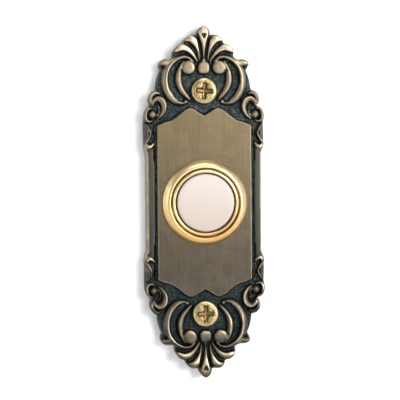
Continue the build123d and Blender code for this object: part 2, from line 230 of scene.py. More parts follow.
class NodeTree:
    """Builds the node tree of one material."""

    def __init__(self, name: str) -> None:
        """Start a material with a Principled shader joined to its output.

        Args:
            name: the material's name.
        """
        self.material = bpy.data.materials.new(name)
        self.material.use_nodes = True
        self.tree = self.material.node_tree
        self.tree.nodes.clear()
        self.shader = self.tree.nodes.new("ShaderNodeBsdfPrincipled")
        self.surface = self.tree.nodes.new("ShaderNodeOutputMaterial").inputs["Surface"]
        self.join(self.shader.outputs["BSDF"], self.surface)
        self.coordinates = self.tree.nodes.new("ShaderNodeTexCoord").outputs["Object"]

    def join(self, source: Socket, target: Socket) -> None:
        """Link an output socket to an input socket."""
        self.tree.links.new(source, target)

    def set(self, **values: float) -> None:
        """Set the shader's own sockets; an underscore stands for a space."""
        for name, value in values.items():
            self.shader.inputs[name.replace("_", " ")].default_value = value

    def mapping(self, scale: Point3) -> Socket:
        """Scale the object coordinates.

        Args:
            scale: factor along each axis, which is the noise cells per metre.

        Returns:
            The scaled coordinates.
        """
        node = self.tree.nodes.new("ShaderNodeMapping")
        node.inputs["Scale"].default_value = scale
        self.join(self.coordinates, node.inputs["Vector"])
        return node.outputs["Vector"]

    def noise(self, scale: Point3, detail: float = 3.0, roughness: float = 0.55) -> Socket:
        """Noise over object coordinates.

        Args:
            scale: cells per metre along each axis.
            detail: number of finer layers.
            roughness: weight of the finer layers.

        Returns:
            A value near one half.
        """
        node = self.tree.nodes.new("ShaderNodeTexNoise")
        node.inputs["Scale"].default_value = 1.0
        node.inputs["Detail"].default_value = detail
        node.inputs["Roughness"].default_value = roughness
        self.join(self.mapping(scale), node.inputs["Vector"])
        return node.outputs["Fac"]

    def attribute(self, name: str) -> Socket:
        """Read a vertex attribute of the piece.

        Args:
            name: the attribute's name.

        Returns:
            Its value.
        """
        node = self.tree.nodes.new("ShaderNodeAttribute")
        node.attribute_name = name
        return node.outputs["Fac"]

    def axis(self, index: int) -> Socket:
        """Read one object coordinate.

        Args:
            index: 0 for X, 1 for Y and 2 for Z.

        Returns:
            The coordinate in metres.
        """
        node = self.tree.nodes.new("ShaderNodeSeparateXYZ")
        self.join(self.coordinates, node.inputs["Vector"])
        return node.outputs[index]

    def math(self, operation: str, *values: Socket | float) -> Socket:
        """Work out a value from others.

        Args:
            operation: the Math node's operation.
            values: sockets or numbers, in the node's order.

        Returns:
            The result.
        """
        node = self.tree.nodes.new("ShaderNodeMath")
        node.operation = operation
        for index, value in enumerate(values):
            if isinstance(value, (int, float)):
                node.inputs[index].default_value = value
            else:
                self.join(value, node.inputs[index])
        return node.outputs["Value"]

    def distance(self, first: Socket, second: Socket) -> Socket:
        """Length of the line whose two sides are the given values."""
        squares = [self.math("POWER", side, 2.0) for side in (first, second)]
        return self.math("SQRT", self.math("ADD", *squares))

    def ramp(self, value: Socket, low: float, high: float, start: float = 0.0, end: float = 1.0) -> Socket:
        """Smooth change as a value goes from low to high.

        Args:
            value: what the change follows.
            low: the value where it begins.
            high: the value where it ends.
            start: result at low.
            end: result at high.

        Returns:
            The result.
        """
        node = self.tree.nodes.new("ShaderNodeMapRange")
        node.interpolation_type = "SMOOTHSTEP"
        node.inputs["From Min"].default_value = low
        node.inputs["From Max"].default_value = high
        node.inputs["To Min"].default_value = start
        node.inputs["To Max"].default_value = end
        self.join(value, node.inputs["Value"])
        return node.outputs["Result"]

    def climb(self, line: Point2, start: float = 0.0, end: float = 1.0) -> Socket:
        """Smooth change from start to end between two heights up the face, in millimetres."""
        return self.ramp(self.axis(2), line[0] * MM, line[1] * MM, start, end)

    def blend(self, share: Socket, first: Socket | Colour, second: Socket | Colour) -> Socket:
        """Mix two colours.

        Args:
            share: share of the second colour, from 0 to 1.
            first: colour or socket.
            second: colour or socket.

        Returns:
            The mixed colour.
        """
        node = self.tree.nodes.new("ShaderNodeMix")
        node.data_type = "RGBA"
        self.join(share, node.inputs[0])
        for index, value in ((6, first), (7, second)):
            if isinstance(value, tuple):
                node.inputs[index].default_value = (*value, 1.0)
            else:
                self.join(value, node.inputs[index])
        return node.outputs[2]

    def bump(self, height: Socket, depth_mm: float) -> None:
        """Bump the shader's normal.

        Args:
            height: height between 0 and 1.
            depth_mm: what a height of 1 stands for.
        """
        node = self.tree.nodes.new("ShaderNodeBump")
        node.inputs["Strength"].default_value = 1.0
        node.inputs["Distance"].default_value = depth_mm * MM
        self.join(height, node.inputs["Height"])
        self.join(node.outputs["Normal"], self.shader.inputs["Normal"])

    def colour(self, source: Socket) -> None:
        """Join a colour to the shader's base colour."""
        self.join(source, self.shader.inputs["Base Color"])

    def roughness(self, source: Socket) -> None:
        """Join a value to the shader's roughness."""
        self.join(source, self.shader.inputs["Roughness"])


@dataclass(frozen=True)
class AntiqueBrass:
    """Cast relief: dark patina in the hollows, pale rubbed brass on the crests, and painted shade that
    darkens it towards its foot.
    """

    patina: Colour = (0.007, 0.016, 0.018)
    verdigris: Colour = (0.10, 0.125, 0.12)
    bronze: Colour = (0.075, 0.074, 0.060)
    tan: Colour = (0.265, 0.212, 0.143)
    rubbed: Colour = (0.64, 0.505, 0.335)
    foot_shade_tone: Colour = (0.46, 0.38, 0.26)
    foot_shade_dark: Colour = (0.002, 0.006, 0.007)
    foot_shade: float = 0.55
    foot_line: Point2 = (-45.0, 35.0)
    unevenness: float = 0.45
    patina_metal: float = 0.85

    def material(self) -> bpy.types.Material:
        """Build the finish from the plate's rub and patina attributes.

        Returns:
            The finish's material.
        """
        n = NodeTree("antique_brass")
        grain = n.noise((2300.0,) * 3, detail=3.0, roughness=0.65)
        cloud = n.noise((480.0,) * 3, detail=4.0)
        wear = n.noise((170.0,) * 3, detail=2.0)
        drift = n.math("MULTIPLY", n.math("SUBTRACT", n.math("ADD", cloud, wear), 1.0), self.unevenness)
        # rub carries real wear, and below the button also painted shade on the bodies and painted highlights
        # on the crests and upper slopes
        rub = n.math("ADD", n.attribute("rub"), drift)
        dark = n.ramp(n.math("ADD", n.attribute("patina"), drift), 0.2, 0.75)
        hollow = n.blend(n.ramp(grain, 0.48, 0.7), self.patina, self.verdigris)
        body = n.blend(dark, self.bronze, hollow)
        body = n.blend(n.ramp(rub, 0.06, 0.36), body, self.tan)
        body = n.blend(n.ramp(rub, 0.5, 0.95), body, self.rubbed)
        # painted shade: towards the foot the colour turns to a dark shade tone, kept warmer where the brass
        # is rubbed, as if lit from above
        shade = n.climb(self.foot_line, self.foot_shade, 1.0)
        foot = n.blend(n.ramp(rub, 0.35, 0.95), self.foot_shade_dark, self.foot_shade_tone)
        n.colour(n.blend(shade, foot, body))
        n.join(n.ramp(dark, 0.0, 1.0, 1.0, self.patina_metal), n.shader.inputs["Metallic"])
        n.roughness(n.math("ADD", n.ramp(rub, 0.2, 0.9, 0.46, 0.3), n.math("MULTIPLY", grain, 0.1)))
        n.bump(n.math("MULTIPLY", grain, n.ramp(rub, 0.1, 0.8, 1.0, 0.22)), 0.075)
        return n.material


@dataclass(frozen=True)
class BrushedPanel:
    """Flat of the plate: vertical brushing in antique brass, darker to its foot by painted shade."""

    light: Colour = (0.222, 0.168, 0.094)
    deep: Colour = (0.136, 0.104, 0.060)
    shaded_foot_light: Colour = (0.112, 0.094, 0.069)
    shaded_foot_deep: Colour = (0.060, 0.051, 0.039)
    across_per_metre: float = 6200.0
    along_per_metre: float = 70.0
    foot_line: Point2 = (-26.0, 32.0)

    def material(self) -> bpy.types.Material:
        """Build the finish from streaks that run up the panel.

        Returns:
            The finish's material.
        """
        n = NodeTree("brushed_panel")
        fine = n.noise((self.across_per_metre, 60.0, self.along_per_metre), detail=3.0)
        wide = n.noise((700.0, 60.0, 18.0), detail=2.0)
        cloud = n.noise((260.0, 260.0, 200.0), detail=3.0)
        speck = n.noise((2600.0, 2600.0, 1300.0), detail=2.0)
        streak = n.math("ADD", n.math("MULTIPLY", fine, 0.8), n.math("MULTIPLY", wide, 0.2))
        mottle = n.math("ADD", n.ramp(cloud, 0.3, 0.7, 0.0, 0.3), n.ramp(speck, 0.35, 0.65, 0.0, 0.25))
        tone = n.math("ADD", n.ramp(streak, 0.3, 0.7, 0.0, 0.45), mottle)
        upper = n.blend(tone, self.deep, self.light)
        # painted shade: the lower tones darken the panel towards its foot, as if lit from above
        lower = n.blend(tone, self.shaded_foot_deep, self.shaded_foot_light)
        n.colour(n.blend(n.climb(self.foot_line), lower, upper))
        n.set(Metallic=1.0)
        n.roughness(n.ramp(streak, 0.3, 0.7, 0.48, 0.38))
        n.bump(streak, 0.012)
        return n.material


@dataclass(frozen=True)
class PolishedBrass:
    """Bezel ring: lacquered bright brass with tarnish in its groove, a painted shade line at the bead's inner
    edge by the gap to the cap, and painted shade towards its foot.
    """

    gold: Colour = (0.92, 0.70, 0.37)
    shaded_low_gold: Colour = (0.70, 0.44, 0.17)
    tarnish_and_gap_shade: Colour = (0.15, 0.09, 0.03)
    groove_radius: float = 10.1
    groove_half_width: float = 0.28
    gap_shade_radius: float = 8.95
    gap_shade_width: float = 0.17
    foot_line: Point2 = (-11.0, 9.0)
    turning_marks: float = 62000.0

    def material(self) -> bpy.types.Material:
        """Build the finish from the distance to the button axis.

        Returns:
            The finish's material.
        """
        n = NodeTree("polished_brass")
        radius = n.distance(n.axis(0), n.axis(2))
        off = n.math("ABSOLUTE", n.math("SUBTRACT", radius, self.groove_radius * MM))
        depth = n.ramp(off, self.groove_half_width * 0.4 * MM, self.groove_half_width * 1.5 * MM, 1.0, 0.0)
        cloud = n.noise((380.0,) * 3, detail=4.0)
        share = n.math("MULTIPLY", depth, n.ramp(cloud, 0.2, 0.6, 0.55, 0.95))
        # painted shade: the bead's inner edge darkens where the gap to the cap lies in shade
        gap_shade = n.ramp(radius, self.gap_shade_radius * MM, (self.gap_shade_radius + self.gap_shade_width) * MM, 0.9, 0.0)
        share = n.math("MAXIMUM", share, gap_shade)
        # painted shade: the gold darkens towards the ring's foot, as if lit from above
        gold = n.blend(n.climb(self.foot_line), self.shaded_low_gold, self.gold)
        n.colour(n.blend(share, gold, self.tarnish_and_gap_shade))
        n.set(Metallic=1.0)
        turning = n.math("SINE", n.math("MULTIPLY", radius, self.turning_marks))
        n.roughness(n.math("ADD", n.math("MULTIPLY", cloud, 0.08), 0.27))
        n.bump(n.math("ADD", n.math("MULTIPLY", turning, 0.12), cloud), 0.004)
        return n.material


@dataclass(frozen=True)
class ScrewBrass:
    """Yellow brass fastener: light scratches, darker brown in the recess and a darker mottled middle on its
    head.
    """

    brass: Colour = (0.49, 0.39, 0.19)
    pale: Colour = (0.71, 0.60, 0.36)
    recess_brown: Colour = (0.20, 0.125, 0.06)
    # worn is the darker tone of the head's mottled middle
    worn: Colour = (0.25, 0.175, 0.075)
    recess_level: float = 5.0
    half_spacing: float = 33.15
    flat_radius: float = 2.9
    rim_radius: float = 3.55

    def material(self) -> bpy.types.Material:
        """Build the finish from the height along the screw and across its head.

        Returns:
            The finish's material.
        """
        n = NodeTree("screw_brass")
        scratch = n.noise((900.0, 900.0, 5200.0), detail=4.0)
        cloud = n.noise((750.0,) * 3, detail=5.0)
        # darker brown low in the cross recess
        depth = n.ramp(n.axis(1), -(self.recess_level + 0.75) * MM, -(self.recess_level + 0.2) * MM)
        share = n.math("MULTIPLY", depth, n.ramp(cloud, 0.3, 0.6, 0.55, 0.95))
        pale = n.blend(n.ramp(cloud, 0.35, 0.7), self.brass, self.pale)
        aside = n.math("SUBTRACT", n.math("ABSOLUTE", n.axis(2)), self.half_spacing * MM)
        radius = n.distance(n.axis(0), aside)
        # the head's middle is darker and mottled, its rim paler
        middle_mottle = n.ramp(n.noise((1700.0,) * 3, detail=3.0), 0.36, 0.6, 0.35, 1.0)
        flat = n.ramp(radius, self.flat_radius * MM, self.rim_radius * MM, 1.0, 0.0)
        middle = n.math("MULTIPLY", flat, middle_mottle)
        pale = n.blend(middle, pale, self.worn)
        n.colour(n.blend(share, pale, self.recess_brown))
        n.set(Metallic=1.0)
        n.roughness(n.ramp(scratch, 0.3, 0.7, 0.3, 0.48))
        n.bump(n.math("ADD", scratch, cloud), 0.05)
        return n.material


@dataclass(frozen=True)
class Plastic:
    """Moulded plastic with a faint flow and fine surface texture."""

    name: str
    base: Colour
    shade: Colour
    gloss_low: float
    gloss_high: float
    grain_mm: float
    foot: Colour | None = None
    foot_line: Point2 = (-11.0, 9.0)

    def material(self) -> bpy.types.Material:
        """Build the finish from two scales of noise and, where a foot colour is given, painted shade towards
        the bottom.

        Returns:
            The finish's material.
        """
        n = NodeTree(self.name)
        flow = n.noise((60.0, 60.0, 40.0), detail=2.0)
        grain = n.noise((4200.0,) * 3, detail=2.0)
        tone = n.blend(n.ramp(flow, 0.3, 0.7), self.base, self.shade)
        # painted shade: the foot colour darkens the lower part, as if lit from above
        if self.foot:
            tone = n.blend(n.climb(self.foot_line), self.foot, tone)
        n.colour(tone)
        n.roughness(n.ramp(flow, 0.3, 0.7, self.gloss_low, self.gloss_high))
        n.bump(grain, self.grain_mm)
        return n.material


@dataclass(frozen=True)
class Metal:
    """Plain metal of an inner piece, with clouded tone and drawn marks."""

    name: str
    base: Colour
    shade: Colour
    gloss_low: float
    gloss_high: float
    mark_scale: Point3 = (1500.0, 1500.0, 1500.0)

    def material(self) -> bpy.types.Material:
        """Build the finish from cloud and mark noises.

        Returns:
            The finish's material.
        """
        n = NodeTree(self.name)
        cloud = n.noise((500.0,) * 3, detail=4.0)
        marks = n.noise(self.mark_scale, detail=4.0)
        n.colour(n.blend(n.ramp(cloud, 0.3, 0.7), self.base, self.shade))
        n.set(Metallic=1.0)
        n.roughness(n.ramp(marks, 0.3, 0.7, self.gloss_low, self.gloss_high))
        n.bump(marks, 0.012)
        return n.material


@dataclass(frozen=True)
class LampGlass:
    """Clear envelope of the lamp, faintly warm."""

    tint: Colour = (1.0, 0.95, 0.86)
    streak_tint: Colour = (0.96, 0.92, 0.84)
    see_through: float = 0.9
    bending: float = 1.5

    def material(self) -> bpy.types.Material:
        """Build the glass with slight streaks in its gloss.

        Returns:
            The finish's material.
        """
        n = NodeTree("lamp_glass")
        streak = n.noise((900.0, 200.0, 900.0), detail=2.0)
        n.colour(n.blend(n.ramp(streak, 0.2, 0.8), self.tint, self.streak_tint))
        n.set(Transmission_Weight=self.see_through, IOR=self.bending)
        n.roughness(n.ramp(streak, 0.3, 0.7, 0.03, 0.09))
        n.bump(streak, 0.004)
        return n.material


@dataclass(frozen=True)
class StageFinish:
    """Matt pale surface of the studio, on request clear when seen from its back."""

    tone: Colour = (0.93, 0.93, 0.935)
    cloud_tone: Colour = (0.91605, 0.91605, 0.920975)
    one_sided: bool = False

    def material(self) -> bpy.types.Material:
        """Build the finish from a broad, faint cloud.

        Returns:
            The finish's material.
        """
        n = NodeTree("studio_floor")
        cloud = n.noise((6.0, 6.0, 6.0), detail=2.0)
        n.colour(n.blend(cloud, self.tone, self.cloud_tone))
        n.set(Roughness=0.9)
        if self.one_sided:
            behind = n.tree.nodes.new("ShaderNodeNewGeometry").outputs["Backfacing"]
            clear = n.tree.nodes.new("ShaderNodeBsdfTransparent").outputs["BSDF"]
            mix = n.tree.nodes.new("ShaderNodeMixShader")
            for source, target in zip((behind, n.shader.outputs["BSDF"], clear), mix.inputs):
                n.join(source, target)
            n.join(mix.outputs["Shader"], n.surface)
        return n.material


class Section(Enum):
    """How a carved form's side falls to its edge, as a power and a root."""

    ROUND = (2.0, 2.0)
    FLAT_TOPPED = (4.6, 1.8)
    DOMED = (2.0, 1.35)
    BROAD = (2.6, 1.9)
    DISC = (7.0, 2.0)

    def fall(self, share: np.ndarray) -> np.ndarray:
        """Height share, from 1 at the crest to 0 at the edge."""
        power, root = self.value
        return np.maximum(0.0, 1.0 - share**power) ** (1.0 / root)


@dataclass(frozen=True)
class Stroke:
    """One carved form, drawn along a smooth line over the field.

    Each point of the line is (across, up, half width, height). The crest may
    lie off the middle, from -1 at the left of the line to 1 at its right. rub
    is how worn the form is, and ridge is how worn its crest line is.
    """

    line: tuple[tuple[float, float, float, float], ...]
    section: Section = Section.ROUND
    far_section: Section | None = None
    crest: float = 0.0
    rub: float = 0.7
    ridge: float | None = None

    def samples(self, runs: int = 9) -> np.ndarray:
        """Points of a smooth line through the given points.

        Args:
            runs: number of runs between two given points.

        Returns:
            Rows of across, up, half width and height.
        """
        given = np.array(self.line, float)
        if len(given) == 1:
            return given
        ends = np.vstack([2 * given[0] - given[1], given, 2 * given[-1] - given[-2]])
        rows = []
        for index in range(len(given) - 1):
            a, b, c, d = ends[index : index + 4]
            for step in range(runs):
                t = step / runs
                square, cube = 2 * a - 5 * b + 4 * c - d, 3 * b - a - 3 * c + d
                rows.append(0.5 * (2 * b + (c - a) * t + square * t**2 + cube * t**3))
        rows.append(given[-1])
        return np.array(rows)


@dataclass
class ReliefMap:
    """Height of the casting's front over one quarter of its face, in millimetres."""

    step: float = 0.1
    width: float = 18.4
    height: float = 52.8
    field_level: float = 3.6
    side_slope: float = 3.2
    margin: float = 1.6
    least_half: float = 0.05
    full_gain: float = 0.2
    ridge_share: float = 0.25
    crest_share: float = 0.3
    across: np.ndarray = field(init=False)
    up: np.ndarray = field(init=False)
    level: np.ndarray = field(init=False)
    rub: np.ndarray = field(init=False)
    ridge: np.ndarray = field(init=False)

    def __post_init__(self) -> None:
        """Lay out the sample points."""
        columns = np.arange(0.0, self.width, self.step)
        rows = np.arange(0.0, self.height, self.step)
        self.across, self.up = np.meshgrid(columns, rows)
        self.level = np.full_like(self.across, self.field_level)
        self.rub = np.zeros_like(self.across)
        self.ridge = np.zeros_like(self.across)

    def distance_to(self, loop: np.ndarray) -> np.ndarray:
        """Distance of each sample point inside a closed loop, negative outside.

        Args:
            loop: corners of the loop in order.

        Returns:
            An array shaped like the map.
        """
        run = np.roll(loop, -1, axis=0) - loop
        size = np.maximum((run**2).sum(1), TINY)
        points = np.stack([self.across.ravel(), self.up.ravel()], 1)
        best = np.full(len(points), FAR)
        for (sx, sy), (rx, ry), length in zip(loop, run, size):
            dx, dy = points[:, 0] - sx, points[:, 1] - sy
            share = np.clip((dx * rx + dy * ry) / length, 0, 1)
            best = np.minimum(best, (dx - share * rx) ** 2 + (dy - share * ry) ** 2)
        sign = np.where(inside_loop(points, loop), 1.0, -1.0)
        return (sign * np.sqrt(best)).reshape(self.across.shape)

    def carve(self, stroke: Stroke, softness: float = 0.16) -> None:
        """Raise one carved form out of the map.

        Args:
            stroke: the form.
            softness: how far the crease where it meets its ground is filled.
        """
        rows = stroke.samples()
        reach = rows[:, 2].max() + self.margin
        left, right = rows[:, 0].min() - reach, rows[:, 0].max() + reach
        low, high = rows[:, 1].min() - reach, rows[:, 1].max() + reach
        near = (self.across > left) & (self.across < right) & (self.up > low) & (self.up < high)
        px, py = self.across[near], self.up[near]
        share_best = np.full(len(px), FAR)
        raised = np.zeros(len(px))
        side_best = np.zeros(len(px))
        width_best = np.ones(len(px))
        if len(rows) == 1:
            rows = np.vstack([rows, rows + [[0, 1e-4, 0, 0]]])
        for a, b in zip(rows, rows[1:]):
            run = b[:2] - a[:2]
            length = max(float(run @ run), TINY)
            dx, dy = px - a[0], py - a[1]
            t = np.clip((dx * run[0] + dy * run[1]) / length, 0, 1)
            gap = np.hypot(dx - t * run[0], dy - t * run[1])
            side = np.sign(dy * run[0] - dx * run[1])
            half = np.maximum(a[2] + (b[2] - a[2]) * t, self.least_half)
            share = gap / half
            better = share < share_best
            share_best = np.where(better, share, share_best)
            raised = np.where(better, a[3] + (b[3] - a[3]) * t, raised)
            side_best = np.where(better, -side, side_best)
            width_best = np.where(better, half, width_best)
        signed = np.clip(share_best, 0, 1) * side_best
        beyond = signed > stroke.crest
        right_side = (signed - stroke.crest) / (1 - stroke.crest)
        left_side = (stroke.crest - signed) / (1 + stroke.crest)
        from_crest = np.clip(np.where(beyond, right_side, left_side), 0, 1)
        far = stroke.far_section or stroke.section
        fall = np.where(beyond, far.fall(from_crest), stroke.section.fall(from_crest))
        outside = np.maximum(share_best - 1, 0) * width_best
        shape = self.field_level + raised * fall - self.side_slope * outside
        ground = self.level[near]
        overlap = np.maximum(softness - np.abs(shape - ground), 0) / softness
        self.level[near] = np.maximum(shape, ground) + overlap**2 * softness / 4
        gained = np.clip((shape - ground) / self.full_gain, 0, 1) * (share_best < 1)
        line = np.clip(1 - from_crest / self.ridge_share, 0, 1) * ((stroke.ridge or stroke.rub) - stroke.rub)
        proud = (raised / rows[:, 3].max()) ** 1.5
        self.rub[near] += ((stroke.rub * fall**0.6 + line) * proud - self.rub[near]) * gained
        crest = np.clip(1 - from_crest / self.crest_share, 0, 1) * proud * (stroke.ridge is not None)
        self.ridge[near] += (crest - self.ridge[near]) * gained

    def sink(self, across: float, up: float, radius: float, depth: float) -> None:
        """Press a small round pit into the map.

        Args:
            across: its middle across the face.
            up: its middle up the face.
            radius: its radius.
            depth: its depth in the middle.
        """
        gap = np.hypot(self.across - across, self.up - up) / radius
        dip = np.clip(1 - gap**2, 0, 1) ** 1.5
        self.level -= depth * dip
        self.rub *= 1 - np.clip(2.2 * dip, 0, 1)

    def softened(self, values: np.ndarray, radius: float) -> np.ndarray:
        """Average a map over a bell-shaped neighbourhood.

        Args:
            values: an array shaped like the map.
            radius: the bell's radius in millimetres.

        Returns:
            The smoother array.
        """
        reach = max(1, int(3 * radius / self.step))
        offsets = np.arange(-reach, reach + 1) * self.step
        weights = np.exp(-((offsets / radius) ** 2) / 2)
        weights /= weights.sum()
        result = values
        for axis in (0, 1):
            pad = [(0, 0), (0, 0)]
            pad[axis] = (reach, reach)
            padded = np.pad(result, pad, mode="reflect")
            total = np.zeros_like(result)
            for index, weight in enumerate(weights):
                window = [slice(None), slice(None)]
                window[axis] = slice(index, index + result.shape[axis])
                total += weight * padded[tuple(window)]
            result = total
        return result

    def read(self, values: np.ndarray, points: np.ndarray) -> np.ndarray:
        """Read a map at face points of any quarter, by mirror symmetry.

        Args:
            values: an array shaped like the map.
            points: rows of across and up.

        Returns:
            The value at each point.
        """
        x = np.clip(np.abs(points[:, 0]) / self.step, 0, self.across.shape[1] - 1.001)
        y = np.clip(np.abs(points[:, 1]) / self.step, 0, self.across.shape[0] - 1.001)
        i, j = x.astype(int), y.astype(int)
        s, t = x - i, y - j
        low = values[j, i] * (1 - s) + values[j, i + 1] * s
        high = values[j + 1, i] * (1 - s) + values[j + 1, i + 1] * s
        return low * (1 - t) + high * t


def mirrored_loop(quarter: list[Point2]) -> np.ndarray:
    """Mirror a quarter of an outline to the whole.

    Args:
        quarter: the upper right quarter, from the top to the right.

    Returns:
        The closed loop.
    """
    right = quarter + [(x, -y) for x, y in reversed(quarter) if y > TINY]
    left = [(-x, y) for x, y in reversed(right) if x > TINY]
    return np.array(right + left)


def divided(points: np.ndarray, gap: float) -> np.ndarray:
    """Divide a loop's long runs evenly, with all its corners kept.

    Args:
        points: corners of the loop in order.
        gap: the length that a new run comes near to.

    Returns:
        The loop with more corners.
    """
    runs = np.roll(points, -1, axis=0) - points
    length = np.hypot(runs[:, 0], runs[:, 1])
    rows = []
    for start, run, size in zip(points, runs, length):
        pieces = max(1, round(size / gap))
        rows.extend(start + run * k / pieces for k in range(pieces))
    return np.array(rows)


@dataclass(frozen=True)
class Wear:
    """How the casting is rubbed, with painted light and shade below the button and a painted reflection in
    the flank rubs: widths in millimetres, and 1 for bare metal.
    """

    around: float = 0.9
    broad: float = 0.8
    fade: float = 0.2
    relief_height: float = 1.6
    rail_top: float = 17.5
    rail_band: float = 0.85
    edge_band: float = 0.35
    # the flank and wall rubs are partly wear and partly a painted reflection of the pale surroundings
    rail_rub_and_sheen: float = 0.58
    edge_rub_and_sheen: float = 0.18
    panel_rim: float = 0.6
    # painted light from above, below the button: darker bodies, lighter crest lines and lighter upward-facing
    # slopes
    shaded_foot_body: float = 0.64
    lit_foot_crest: float = 0.8
    painted_uplight: float = 1.5
    painted_uplight_range: Point2 = (0.3, 2.3)
    wall_rub_and_sheen: float = 0.4
    wall_patina: float = 0.2
    back_patina: float = 0.8


@dataclass
class CastPlate:
    """Back plate: the casting with its carved relief and hollow back."""

    field_level: float = 3.6
    panel_level: float = 5.2
    edge_level: float = 1.1
    edge_slope_width: float = 0.5
    cavity_level: float = 2.4
    panel_half_width: float = 14.0
    panel_shoulder: float = 22.9
    panel_bevel: float = 0.3
    rail_across: float = 15.72
    rail_half_width: float = 0.92
    rail_end: float = 16.2
    reed_pitch: float = 0.5
    reed_places: tuple[float, ...] = (-1.5, -0.5, 0.5, 1.5)
    tip_pits: tuple[Point3, ...] = ((0.36, 49.75, 0.5), (0.0, 49.4, 0.62), (0.0, 48.95, 0.42))
    tip_pit_depth: float = 0.55
    leaf_pits: tuple[Point2, ...] = ((11.9, 40.2), (6.75, 39.2))
    leaf_pit_radius: float = 0.4
    leaf_pit_depth: float = 0.5
    bore_radius: float = 10.3
    small_radius: float = 3.0
    edge_gap: float = 0.3
    cavity_gap: float = 0.8
    panel_gap: float = 0.25
    fine_gap: float = 0.17
    coarse_gap: float = 1.0
    point_clearance: float = 0.45
    spread_reach: int = 3
    least_spread: float = 0.03
    hole_corners: int = 48
    post_corners: int = 64
    bore_corners: int = 128
    wear: Wear = Wear()
    relief: ReliefMap = field(default_factory=ReliefMap)
    edge_distance: np.ndarray = field(init=False)
    panel_distance: np.ndarray = field(init=False)

    def panel_quarter(self) -> list[Point2]:
        """Draw the upper right quarter of the panel's outline.

        Returns:
            Its points, from the cusp to the middle of the side.
        """
        line = Stroke(
            (
                (0.0, 25.75, 0, 0),
                (1.6, 26.75, 0, 0),
                (3.9, 28.0, 0, 0),
                (5.9, 27.3, 0, 0),
                (8.0, 25.6, 0, 0),
                (9.8, 24.4, 0, 0),
                (12.0, 23.7, 0, 0),
                (self.panel_half_width, self.panel_shoulder, 0, 0),
            )
        )
        points = [tuple(row[:2]) for row in line.samples(6)]
        return points + [(self.panel_half_width, 0.0)]

    def palmette(self) -> list[Stroke]:
        """Draw the fan of five lobes, its collar and the bud under it.

        Returns:
            Its forms, the lowest first.
        """
        outer = (
            (1.9, 41.9, 0.35, 0.9), (3.0, 43.6, 0.55, 1.35), (4.4, 45.1, 0.85, 1.65),
            (6.1, 45.95, 1.15, 1.8), (7.5, 45.65, 1.1, 1.8), (8.5, 44.8, 0.5, 1.55),
        )
        middle = (
            (1.3, 42.4, 0.3, 0.9), (1.55, 44.4, 0.42, 1.3), (2.1, 46.2, 0.68, 1.6),
            (3.0, 48.0, 1.25, 1.85), (4.2, 48.55, 1.05, 1.85), (5.2, 48.1, 0.5, 1.6),
        )
        centre = (
            (0.0, 42.8, 0.3, 0.9), (0.0, 45.0, 0.48, 1.35), (0.0, 46.9, 0.8, 1.6), (0.0, 48.6, 1.3, 1.85),
            (0.0, 50.2, 1.85, 1.9), (0.0, 51.2, 1.35, 1.85), (0.0, 52.0, 0.5, 1.6),
        )
        return [
            Stroke(outer, Section.FLAT_TOPPED, rub=0.95),
            Stroke(middle, Section.FLAT_TOPPED, rub=0.95),
            Stroke(centre, Section.FLAT_TOPPED, rub=0.95),
            Stroke(((0.0, 42.25, 0.65, 1.6),), Section.DOMED, rub=0.95),
            Stroke(((0.4, 40.5, 1.4, 1.65), (0.4, 39.5, 1.5, 1.7)), Section.DISC, rub=0.46),
        ]

    def shoulder(self) -> list[Stroke]:
        """Draw the C-scroll with its inner leaf, its eye and its ear leaf.

        Returns:
            Its forms, the lowest first.
        """
        leaf = (
            (6.0, 41.9, 0.45, 1.3), (6.9, 40.2, 0.8, 1.6), (7.45, 38.3, 1.1, 1.75), (7.55, 36.4, 1.2, 1.8),
            (7.15, 34.6, 1.15, 1.7), (6.3, 33.0, 1.0, 1.55), (5.2, 31.7, 0.8, 1.4), (4.3, 30.7, 0.5, 1.15),
        )
        scroll = (
            (3.3, 42.0, 0.5, 1.5), (4.5, 43.0, 0.6, 1.7), (6.2, 43.25, 0.62, 1.8), (8.1, 42.6, 0.75, 1.9),
            (9.8, 41.35, 0.9, 2.0), (11.0, 39.6, 1.0, 2.05), (11.6, 37.4, 1.1, 2.05),
            (11.6, 35.2, 1.15, 2.0), (11.1, 33.0, 1.12, 1.95), (10.0, 31.15, 1.05, 1.85),
            (8.5, 29.95, 0.9, 1.7), (7.0, 29.45, 0.62, 1.5), (5.7, 29.5, 0.4, 1.2),
        )
        inner_line = (
            (10.6, 35.2, 0.22, 1.5), (10.1, 33.1, 0.34, 1.75),
            (9.0, 31.4, 0.32, 1.65), (7.8, 30.6, 0.22, 1.4),
        )
        ear = (
            (9.2, 42.0, 0.8, 1.85), (10.7, 41.4, 1.0, 1.85),
            (12.1, 41.4, 0.95, 1.85), (13.0, 41.1, 0.6, 1.7),
        )
        return [
            Stroke(((4.6, 40.05, 2.25, 1.8),), Section.DISC, rub=0.46),
            Stroke(leaf, Section.ROUND, Section.BROAD, crest=-0.1, rub=0.36, ridge=0.6),
            Stroke(scroll, Section.ROUND, Section.BROAD, crest=0.4, rub=0.46, ridge=0.66),
            Stroke(inner_line, Section.ROUND, rub=0.95),
            Stroke(ear, Section.BROAD, rub=0.6),
            Stroke(((5.45, 29.95, 0.75, 1.7),), Section.DOMED, rub=0.95),
        ]

